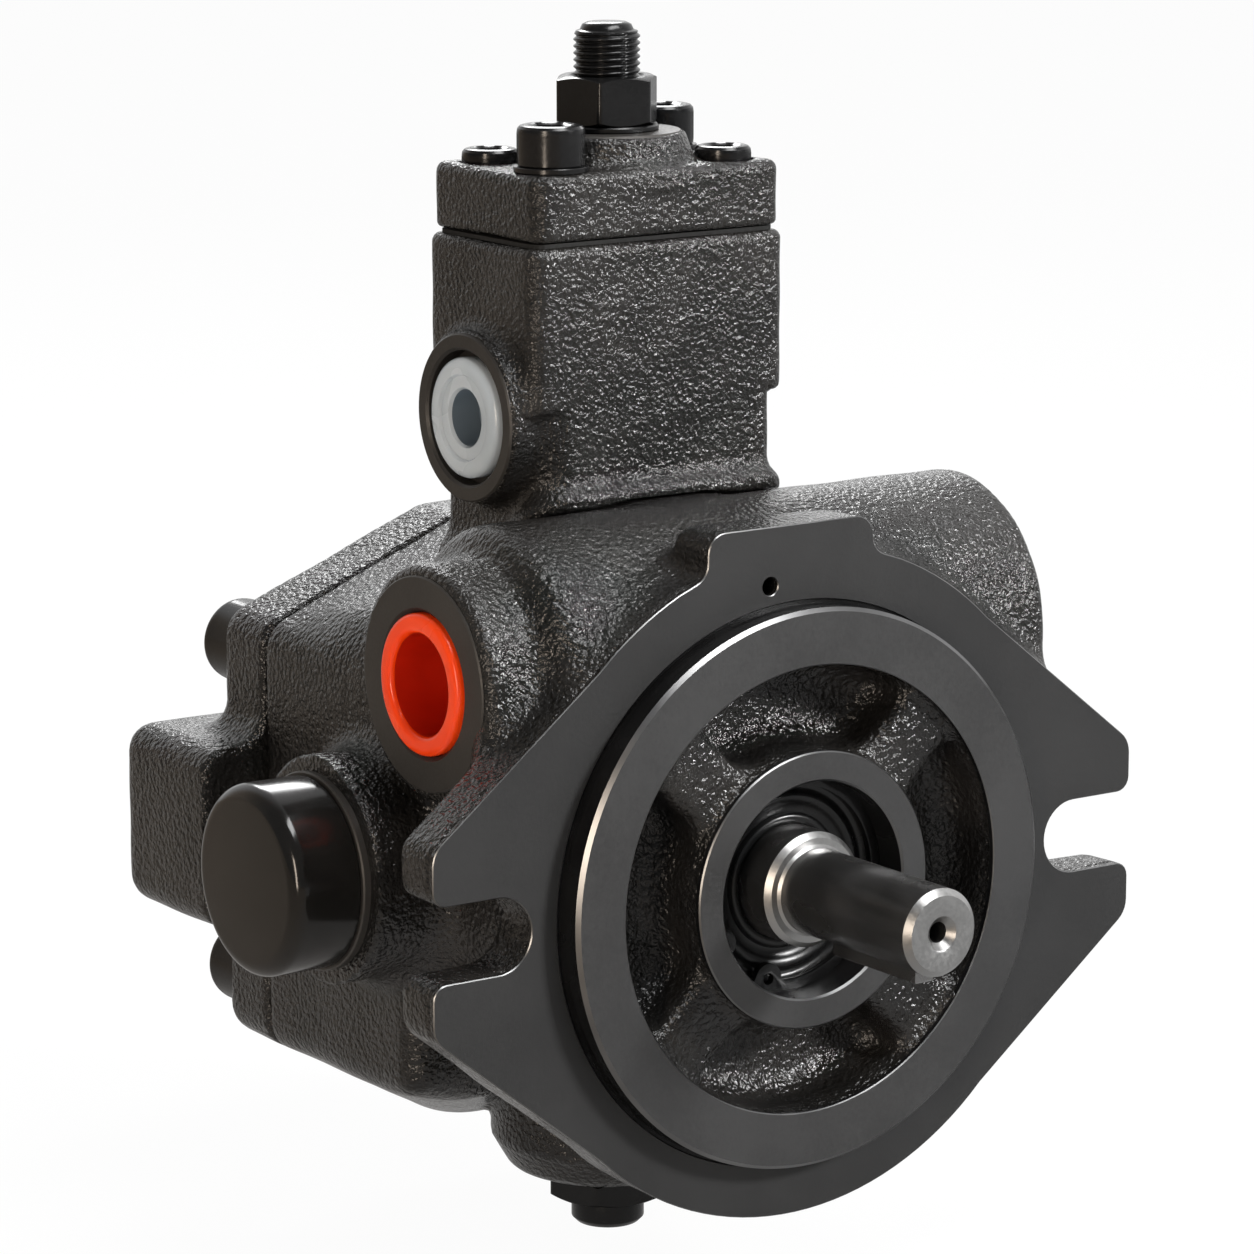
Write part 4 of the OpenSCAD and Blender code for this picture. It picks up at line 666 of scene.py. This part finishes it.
def housing_field(x, y, z):
    back = y - ADJUST_Y
    block = meet(np.abs(x) - 22.7, np.abs(back) - 14.3, 2.5)
    upper = meet(meet(block, z - 90.1, 1.3), 66 - z, 1.0)
    foot = np.maximum(foot_box(x, y, z), slab(z, 43.9, 67))
    d = np.minimum(upper, foot)
    boss = np.maximum(meet(bar(back, z - DRAIN_Z, 12.8), -25.3 - x, 0.6), x + 8)
    d = join(d, boss, 2.2)
    base = upper_field(x, y, z)
    edge = foot_box(x, y, z)
    skirt = meet(join(edge, base - 1.9, 4.0), edge - 1.9, 0.9)
    skirt = meet(skirt, 0.45 - base, 0.5)
    skirt = np.maximum(skirt, z - 66)
    d = np.minimum(d, skirt)
    d = np.maximum(d, -np.maximum(bar(back, z - DRAIN_Z, 10.2), x + 22.4))
    d = np.maximum(d, -np.maximum(bar(back, z - DRAIN_Z, 6.8), x + 18.8))
    return np.maximum(d, -bar(x, back, 10.6))


def cover_field(x, y, z):
    back = y - ADJUST_Y
    block = meet(np.abs(x) - 21.9, np.abs(back) - 14.2, 2.4)
    block = meet(meet(block, z - COVER_TOP, 1.5), 90.9 - z, 0.8)
    cone = np.maximum(meet(bar(x, back, 13 - (z - COVER_TOP) * 0.356), z - 104.9, 0.5), 98 - z)
    d = join(block, cone, 1.6)
    for s in (-1, 1):
        across, out = x - s * COVER_SCREW_X, s * COVER_SCREW_OUT
        d = np.maximum(d, -np.maximum(bar(across, back - out, 5.8), COVER_TOP - z))
        d = np.maximum(d, -np.maximum(bar(across, back + out, 4.6), 97.4 - z))
    return np.maximum(d, -bar(x, back, 5.2))


STEP = 1.0
cast("body_casting", body_field, (-63, -5, -55), (63, 81, 58), STEP, replaces=["body"])
cast("rear_cover_casting", rear_field, (-53, 66, -51), (42, 107, 45), STEP, replaces=["rear_cover"])
cast("spring_housing_casting", housing_field, (-27, 30, 42), (25, 66, 91), STEP * 0.7,
     replaces=["spring_housing"], material="cast_fine")
cast("spring_cover_casting", cover_field, (-23, 34, 90), (23, 63, 106), STEP * 0.5,
     replaces=["spring_cover"], material="cast_fine")

# ---------------------------------------------------------------- machined faces of the castings

O = (0, 0, 0)
flange = plate("flange_face", [FLANGE_LOOP, circle(0, 0, 41.8, 160), circle(*VENT, 1.325, 24)], 0, 1.0, 0.14)
# The flange face's chamfers get the brighter edge metal, a painted highlight.
edges_bright(flange, "y")
for p in flange.polygons:
    if abs(p.normal.y) <= 0.15:
        p.material_index = 2
finish(new_object("flange_face", flange), "casing", ["face", "edge", "cast"], 20)
# The chamfers of the pilot ring and the hub face get the brighter edge metal too, a painted highlight.
pilot = lathe("pilot_ring", [(33.0, -4.05), (33.15, -4.2), (40.7, -4.2), (41.275, -3.6), (41.275, 0.4), (42.1, 0.4),
                             (42.1, 1.2), (40.6, 1.2), (40.6, -3.3), (33.0, -3.3)], "y", O, "casing",
              ["ring", "edge", "bore"], segments=192, angle=20)
# The pilot's side and the faces behind its front get the near-black bore material: painted shade.
for p in pilot.data.polygons:
    if abs(p.normal.y) <= 0.15 or p.center.y > -0.001:
        p.material_index = 2
hub = lathe("hub_face", [(16.0, 9.4), (16.0, 2.45), (16.9, 2.45), (16.9, 1.15), (16.0, 1.15), (16.0, -3.9),
                         (16.3, -4.2), (20.2, -4.2), (20.4, -4.0), (20.4, -3.3), (17.6, -3.3), (17.6, 9.4)], "y", O,
            "casing", ["ring", "edge", "bore"], segments=128, angle=20)
# The hub's bore walls and the faces inside the bore get the near-black bore material: painted shade.
for p in hub.data.polygons:
    if abs(p.normal.y) <= 0.15 or p.center.y > -0.002:
        p.material_index = 2
lathe("vent_bore", [(1.325, 0.9), (1.325, 7.0), (0, 7.0), (0, 7.4), (2.1, 7.4), (2.1, 0.9)], "y", (VENT[0], 0, VENT[1]),
      "casing", ["black_steel"], segments=24)
PORT = (0, PORT_Y, PORT_Z)
lathe("outlet_port_face", [(10.45, -47.4), (11.05, -48.0), (15.4, -48.0), (15.6, -47.8), (15.6, -47.2), (12.2, -47.2),
                           (12.2, -28.0), (4.5, -28.0), (4.5, -28.5), (10.45, -28.5)], "x", PORT, "casing",
      ["port_face"], angle=20)
lathe("inlet_port_face", [(13.2, 48.4), (13.8, 49.0), (17.2, 49.0), (17.4, 48.8), (17.4, 48.2), (15.0, 48.2),
                          (15.0, 29.0), (4.5, 29.0), (4.5, 29.5), (13.2, 29.5)], "x", PORT, "casing",
      ["port_face"], angle=20)
DRAIN = (0, ADJUST_Y, DRAIN_Z)
lathe("drain_port_face", [(6.6, -22.6), (10.0, -22.6), (10.0, -25.2), (10.4, -25.6), (12.2, -25.6), (12.45, -25.35),
                          (12.45, -24.8), (10.9, -24.8), (10.9, -22.0), (7.2, -22.0), (7.2, -18.4), (1.5, -18.4),
                          (1.5, -19.0), (6.6, -19.0)], "x", DRAIN, "casing", ["port_face"], angle=20)
lathe("adjuster_face", [(5.3, 104.5), (5.3, 105.1), (10.9, 105.1), (11.2, 104.8), (11.2, 104.5)], "z",
      (0, ADJUST_Y, 0), "casing", ["port_face"], angle=20)
THRUST = (0, ADJUST_Y, THRUST_Z)
lathe("thrust_collar", [(6.1, -50.6), (6.1, -54.4), (12.6, -54.4), (12.8, -54.2), (12.8, -52.8), (14.55, -52.8),
                        (14.75, -52.6), (14.75, -50.6)], "x", THRUST, "casing", ["port_face"], angle=20)

# ---------------------------------------------------------------- shaft, seal, plugs and cap

shaft = lathe("shaft_turned", [(0, -24.8), (1.5, -24.8), (1.5, -32.7), (2.5, -33.7), (2.8, -33.8), (5.45, -33.8),
                               (6.35, -32.9), (6.35, -4.6), (6.75, -4.2), (7.7, -4.2), (8.5, -3.4), (8.5, 26.4),
                               (8.0, 26.4), (8.0, 66.1), (7.0, 66.1), (7.0, 86.0), (0, 86.0)], "y", O, "shaft_line",
              ["shaft", "bright"], replaces=["drive_shaft"], closed=False, angle=20)
for p in shaft.data.polygons:
    if p.center.y < 0 and abs(p.normal.y) > 0.5:
        p.material_index = 1
key = plate("drive_key_fine", [[(-1.5875, -29.8), (1.5875, -29.8), (1.5875, -10.8), (-1.5875, -10.8)]], -6.35 - 1.5875,
            -6.35 + 1.5875, 0.2, axis="z")
finish(new_object("drive_key_fine", key), "shaft_line", ["shaft"], replaces=["drive_key"])
lathe("shaft_seal_fine", [(16.0, 2.6), (16.0, 9.3), (14.8, 9.4), (14.8, 4.2), (11.3, 4.2), (10.1, 5.6), (10.1, 8.4),
                          (8.6, 7.2), (8.9, 5.3), (9.3, 3.8), (8.55, 2.7), (8.8, 2.45), (9.6, 2.45), (9.9, 2.7),
                          (10.1, 3.3), (11.2, 3.3), (11.5, 2.9), (12.3, 2.5), (12.8, 2.5), (13.1, 2.9), (13.4, 3.3),
                          (14.2, 3.3), (14.6, 2.9), (14.9, 2.5), (15.7, 2.45)], "y", O, "casing", ["rubber"],
      replaces=["shaft_seal"], angle=60)
refine("seal_circlip", "casing", ["black_steel"], 0.15)

lathe("thrust_cap_fine", [(12.9, -53.0)] + [(14.1, -53.0), (14.25, -53.15)]
      + [(11.85 + 2.4 * math.cos(a), -61.6 - 2.4 * math.sin(a)) for a in np.linspace(0, math.pi / 2, 9)]
      + [(0, -64.0), (0, -62.6), (12.9, -62.6)], "x", THRUST, "thrust_cap", ["cap"], replaces=["thrust_cap"],
      angle=35)


def plug(name, x_face, way, r, cup_r, depth, floor, body, replaced):
    """A transit plug: a round cup with a soft lip, its mouth at x_face and its floor inwards."""
    lip = min(0.9, (r - cup_r) / 3)
    end = x_face - way * (depth + floor)
    bottom = x_face - way * depth
    profile = [(cup_r, x_face - way * lip)]
    profile += [(cup_r + lip - lip * math.cos(a), x_face - way * (lip - lip * math.sin(a))) for a in
                np.linspace(0, math.pi / 2, 5)]
    profile += [(r - lip + lip * math.sin(a), x_face - way * (lip - lip * math.cos(a))) for a in
                np.linspace(0, math.pi / 2, 5)]
    profile += [(r, end + way * 0.5), (r - 0.5, end), (0, end), (0, bottom), (cup_r - 0.8, bottom),
                (cup_r, bottom + way * 0.8)]
    mesh = lathe(name, profile, "x", PORT, body, ["orange", "orange_shaded"], replaces=[replaced], angle=40).data
    # The cup's inner walls and floor get the darker orange: painted shade inside the cup.
    for p in mesh.polygons:
        inside = way * (p.center.x / MM - x_face) < -1.2
        p.material_index = int(inside and math.hypot(p.center.y / MM - PORT_Y, p.center.z / MM - PORT_Z) < cup_r + 0.2)


plug("outlet_plug_fine", -48.8, -1, 10.3, 7.45, 13, 1.5, "outlet_plug", "outlet_plug")
plug("inlet_plug_fine", 49.8, 1, 13.05, 10.2, 13, 1.5, "inlet_plug", "inlet_plug")
drain = lathe("drain_plug_fine", [(0, -20.6), (3.4, -20.6), (4.2, -24.9), (4.5, -25.4), (5.9, -25.5), (6.2, -25.4),
                                  (6.5, -25.9), (7.4, -26.1), (8.2, -25.9), (8.8, -25.5), (8.95, -25.1),
                                  (8.95, -23.4), (8.4, -22.7), (6.5, -22.7), (6.5, -19.6), (6.0, -19.2), (0, -19.2)],
              "x", DRAIN, "drain_plug", ["clear", "clear_shaded"], replaces=["drain_plug"], angle=40)
# The faces of the hole get the darker clear plastic: painted shade in the hole.
for p in drain.data.polygons:
    p.material_index = int(math.hypot(p.center.y / MM - ADJUST_Y, p.center.z / MM - DRAIN_Z) < 4.3)

# ---------------------------------------------------------------- screws and nuts


def hexagon(af, spin=0.0, corner=1.0):
    """The radius of a hexagon at an angle, its corners cut off at a share of their radius."""
    return lambda a: min(af / 2 / math.cos((a - math.radians(spin) + math.pi / 6) % (math.pi / 3) - math.pi / 6),
                         af / 1.732 * corner)


def cap_screw(d, head_d, head_h, length):
    """A socket head cap screw with its head's underside at z = 0."""
    r, af, deep = head_d / 2, head_d * 0.52, head_h * 0.55

    def knurl(a, base=r):
        return base - 0.09 * (0.5 + 0.5 * math.cos(a * 48))

    rings = [(-length, 0), (-length, d / 2 - 0.6), (-length + 0.6, d / 2), (0, d / 2), (0, r - 0.25),
             (0.25, r - 0.05), (0.8, knurl), (head_h - 1.3, knurl), (head_h - 1.0, r - 0.02), (head_h - 0.5, r - 0.1),
             (head_h - 0.12, r - 0.45), (head_h, r - 0.85), (head_h, af / 2 / math.cos(math.pi / 6) + 0.35),
             (head_h - 0.35, hexagon(af)), (head_h - deep, hexagon(af)), (head_h - deep, 0)]
    return turned("screw", rings, "z", O, 96, False)


def threaded(name, d, pitch, low, thread_low, high, depth, rows_a_turn=10):
    """A set screw along z: a plain end at low, a thread from thread_low and a chamfered top at high."""
    r = d / 2
    rings = [(low, 0), (low, r - 0.8), (low + 0.8, r - 0.05), (thread_low, r - 0.05)]
    rows = int((high - 1.2 - thread_low) / pitch * rows_a_turn)
    for i in range(1, rows):
        t = thread_low + (high - 1.2 - thread_low) * i / rows
        fade = min(1, (t - thread_low) / pitch)

        def radius(a, t=t, fade=fade):
            p = (t / pitch - a / (2 * math.pi)) % 1
            cut = max(0.0, 1 - abs(p - 0.5) / 0.42)
            lid = r - 0.05 - max(0.0, t - (high - 2.0)) * 0.55
            return min(lid, r - 0.05 - depth * fade * min(1, cut * 1.15))
        rings.append((t, radius))
    rings += [(high - 1.1, r - 1.0), (high - 0.35, r - 1.35), (high, r - 2.1), (high, 0)]
    return turned(name, rings, "z", O, 72, False)


def nut(name, af, h, bore, spin):
    """A lock nut along z from 0 to h, its corners turned down at both ends."""
    flat = hexagon(af, spin, 0.985)
    face = af / 2 * 0.955
    drop = math.tan(math.radians(27))

    def top(a):
        return h - (flat(a) - face) * drop

    def base(a):
        return (flat(a) - face) * drop

    rings = [(0, bore), (0, face), (base, flat), (top, flat), (h, face), (h, bore + 0.5), (h - 0.5, bore)]
    return turned(name, rings, "z", O, 192, True)


def placed(mesh, name, body, materials, replaced, turn=None, at=O, angle=30):
    """A mesh along z, turned and moved to its place in millimetres."""
    mesh.transform(Matrix.Translation(Vector(at) * MM) @ (turn or Matrix.Identity(4)))
    return finish(new_object(name, mesh), body, materials, angle, replaced)


DOWN = Matrix.Rotation(math.pi, 4, "X")
LEFT = Matrix.Rotation(-math.pi / 2, 4, "Y")
FRONT, BACK = ADJUST_Y - COVER_SCREW_OUT, ADJUST_Y + COVER_SCREW_OUT
repeat("long_cover_screws_fine", cap_screw(6, 10, 6, 66),
       [(-COVER_SCREW_X, FRONT, 101.4), (COVER_SCREW_X, BACK, 101.4)], "casing", ["black_steel"],
       ["long_cover_screws"])
repeat("short_cover_screws_fine", cap_screw(5, 8.5, 5, 20),
       [(-COVER_SCREW_X, BACK, 97.6), (COVER_SCREW_X, FRONT, 97.6)], "casing", ["black_steel"],
       ["short_cover_screws"])
washer = turned("washer", [(0.8, 3.2), (0.8, 5.4), (0.7, 5.5), (0.1, 5.5), (0, 5.4), (0, 3.2)], "z", O, 64, True)
repeat("cover_screw_washers_fine", washer, [(-COVER_SCREW_X, FRONT, COVER_TOP), (COVER_SCREW_X, BACK, COVER_TOP)],
       "casing", ["black_steel"], ["cover_screw_washers"])
rear = cap_screw(8, 13, 8, 28)
rear.transform(Matrix.Rotation(-math.pi / 2, 4, "X"))
repeat("rear_cover_screws_fine", rear, [(x, 93.0, z) for x, z in REAR_SCREWS], "casing",
       ["black_steel"], ["rear_cover_screws"])

placed(threaded("pressure_screw_fine", 10, 1.0, 83.45, 90, 121, 0.42), "pressure_screw_fine", "pressure_screw",
       ["black_steel"], ["pressure_screw"], None, (0, ADJUST_Y, 0), 40)
placed(nut("pressure_lock_nut_fine", 14, 7.2, 5.05, 17.81), "pressure_lock_nut_fine", "pressure_nut", ["black_steel"],
       ["pressure_lock_nut"], None, (0, ADJUST_Y, 106.0))
for name, body, bore, turn, at in (
        ("pressure_seal_washer", "pressure_washer", 5.1, None, (0, ADJUST_Y, 105.1)),
        ("flow_seal_washer", "flow_washer", 6.1, DOWN, (0, ADJUST_Y, -54.0)),
        ("thrust_seal_washer", "thrust_washer", 6.1, LEFT, (-54.4, ADJUST_Y, THRUST_Z))):
    low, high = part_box(name)
    r = min(v for v in ((high - low).x, (high - low).y, (high - low).z) if v > 0.005) / 2 / MM
    mesh = turned(name, [(0, bore), (0, r - 0.2), (0.2, r), (0.7, r), (0.9, r - 0.2), (0.9, bore)], "z", O, 72, True)
    placed(mesh, name + "_fine", body, ["rubber"], [name], turn, at)
placed(nut("flow_lock_nut_fine", 16.4, 4.2, 6.05, -15.94), "flow_lock_nut_fine", "flow_nut", ["black_steel"],
       ["flow_lock_nut"], DOWN, (0, ADJUST_Y, -54.9))
refine("flow_screw", "flow_screw", ["black_steel"], 0.2)
refine("thrust_screw", "thrust_screw", ["black_steel"], 0.2)
refine("thrust_lock_nut", "thrust_nut", ["black_steel"], 0.2)

# ---------------------------------------------------------------- floor, light and camera


def stage_material(name, colour, share):
    """Pale paper that shows white, apart from the share that keeps the object's shadow. Gloss sees it grey, and
    brownish on the left."""
    m = bpy.data.materials.new(name)
    m.use_nodes = True
    nodes, links = m.node_tree.nodes, m.node_tree.links
    paper = nodes["Principled BSDF"]
    paper.inputs["Base Color"].default_value = (*colour, 1)
    paper.inputs["Roughness"].default_value = 0.9
    paper.inputs["Specular IOR Level"].default_value = 0.1
    glow = nodes.new("ShaderNodeEmission")
    path = nodes.new("ShaderNodeLightPath").outputs
    place = Value(m.node_tree, nodes.new("ShaderNodeTexCoord").outputs["Object"])
    left = place.node("ShaderNodeVectorMath", {"operation": "DOT_PRODUCT"}, out=1, _0=place, _1=(-1.0, 0.0, 0.0))
    tint = left.between(-0.05, 0.2).mix((0.5, 0.5, 0.5), (0.43, 0.355, 0.28))
    gloss = nodes.new("ShaderNodeMix")
    gloss.data_type = "RGBA"
    links.new(path["Is Glossy Ray"], gloss.inputs["Factor"])
    first, second = [s for s in gloss.inputs if s.type == "RGBA"]
    first.default_value = (1, 1, 1, 1)
    links.new(tint.socket, second)
    links.new([s for s in gloss.outputs if s.type == "RGBA"][0], glow.inputs["Color"])
    seen = Value(m.node_tree, path["Is Camera Ray"]) + Value(m.node_tree, path["Is Glossy Ray"]) \
        + Value(m.node_tree, path["Is Transmission Ray"])
    mix = nodes.new("ShaderNodeMixShader")
    links.new((seen.math("MINIMUM", seen, 1) * (1 - share)).socket, mix.inputs[0])
    links.new(paper.outputs[0], mix.inputs[1])
    links.new(glow.outputs[0], mix.inputs[2])
    links.new(mix.outputs[0], nodes["Material Output"].inputs["Surface"])
    return m


floor_mesh = bpy.data.meshes.new("floor")
FLOOR_HALF, SHADOW_SHARE = 6, 0.035
floor_z = CAD_LOW.z - 0.0002
floor_mesh.from_pydata([(a * FLOOR_HALF, b * FLOOR_HALF, floor_z) for a, b in ((-1, -1), (1, -1), (1, 1), (-1, 1))],
                       [], [(0, 1, 2, 3)])
floor = new_object("floor", floor_mesh)
floor_mesh.materials.append(stage_material("floor_paper", (0.85, 0.85, 0.85), SHADOW_SHARE))

# The world is dim, white where the camera sees it and where gloss and glass look behind the object, and brown where
# gloss looks to the left behind it
world = bpy.data.worlds.new("studio")
bpy.context.scene.world = world
world.use_nodes = True
nodes, links = world.node_tree.nodes, world.node_tree.links
dim = nodes["Background"]
dim.inputs["Color"].default_value = (0.94, 0.97, 1.0, 1)
dim.inputs["Strength"].default_value = 0.2
white = nodes.new("ShaderNodeBackground")
white.inputs["Color"].default_value = (1, 1, 1, 1)
white.inputs["Strength"].default_value = 1.0
brown = nodes.new("ShaderNodeBackground")
brown.inputs["Color"].default_value = (0.56, 0.47, 0.38, 1)
brown.inputs["Strength"].default_value = 1.0
path = nodes.new("ShaderNodeLightPath").outputs
way = Value(world.node_tree, nodes.new("ShaderNodeTexCoord").outputs["Generated"])
behind = way.node("ShaderNodeVectorMath", {"operation": "DOT_PRODUCT"}, out=1, _0=way, _1=(0.57, 0.82, 0.0))
shown = Value(world.node_tree, path["Is Glossy Ray"]) + Value(world.node_tree, path["Is Transmission Ray"])
shown = Value(world.node_tree, path["Is Camera Ray"]) + shown * behind.between(-0.1, 0.6)
left = way.node("ShaderNodeVectorMath", {"operation": "DOT_PRODUCT"}, out=1, _0=way, _1=(-1.0, 0.0, 0.0))
wall = nodes.new("ShaderNodeMixShader")
links.new((left.between(0.05, 0.4) * Value(world.node_tree, path["Is Glossy Ray"])).socket, wall.inputs[0])
links.new(white.outputs[0], wall.inputs[1])
links.new(brown.outputs[0], wall.inputs[2])
blend = nodes.new("ShaderNodeMixShader")
links.new(shown.math("MINIMUM", shown, 1).socket, blend.inputs[0])
links.new(dim.outputs[0], blend.inputs[1])
links.new(wall.outputs[0], blend.inputs[2])
links.new(blend.outputs[0], nodes["World Output"].inputs["Surface"])


def lamp(name, place, target, size, power, colour=(1, 1, 1)):
    data = bpy.data.lights.new(name, "AREA")
    data.shape, data.size, data.size_y = "RECTANGLE", size[0], size[1]
    data.energy, data.color = power, colour
    obj = bpy.data.objects.new(name, data)
    obj.location = place
    obj.rotation_mode = "QUATERNION"
    obj.rotation_quaternion = (Vector(target) - Vector(place)).to_track_quat("-Z", "Y")
    bpy.context.scene.collection.objects.link(obj)


CENTRE = (0, 0.03, 0.02)
lamp("key", (0.62, -0.78, 0.50), CENTRE, (0.2, 0.2), 17.0)
lamp("top", (0.12, -0.30, 0.95), CENTRE, (0.6, 0.3), 9.0)
lamp("left", (-0.88, -0.55, 0.16), CENTRE, (0.16, 0.6), 6.0, (1.0, 0.85, 0.70))
lamp("rear", (0.42, 0.82, 0.62), CENTRE, (0.4, 0.3), 5.0)

camera = bpy.data.cameras.new("camera")
camera.lens, camera.sensor_width = 146.7, 36
camera.clip_start, camera.clip_end = 0.01, 50
eye = bpy.data.objects.new("camera", camera)
turn, rise = math.radians(-34.895), math.radians(11.509)
DISTANCE, SHIFT_RIGHT, SHIFT_UP = 738.44, -24.587, 37.198
back = Vector((math.sin(turn) * math.cos(rise), -math.cos(turn) * math.cos(rise), math.sin(rise)))
right = Vector((math.cos(turn), math.sin(turn), 0))
eye.location = (back * DISTANCE + right * SHIFT_RIGHT + back.cross(right) * SHIFT_UP) * MM
eye.rotation_mode = "QUATERNION"
eye.rotation_quaternion = (-back).to_track_quat("-Z", "Y")
bpy.context.scene.collection.objects.link(eye)
bpy.context.scene.camera = eye
bpy.context.scene.view_settings.view_transform = "Standard"
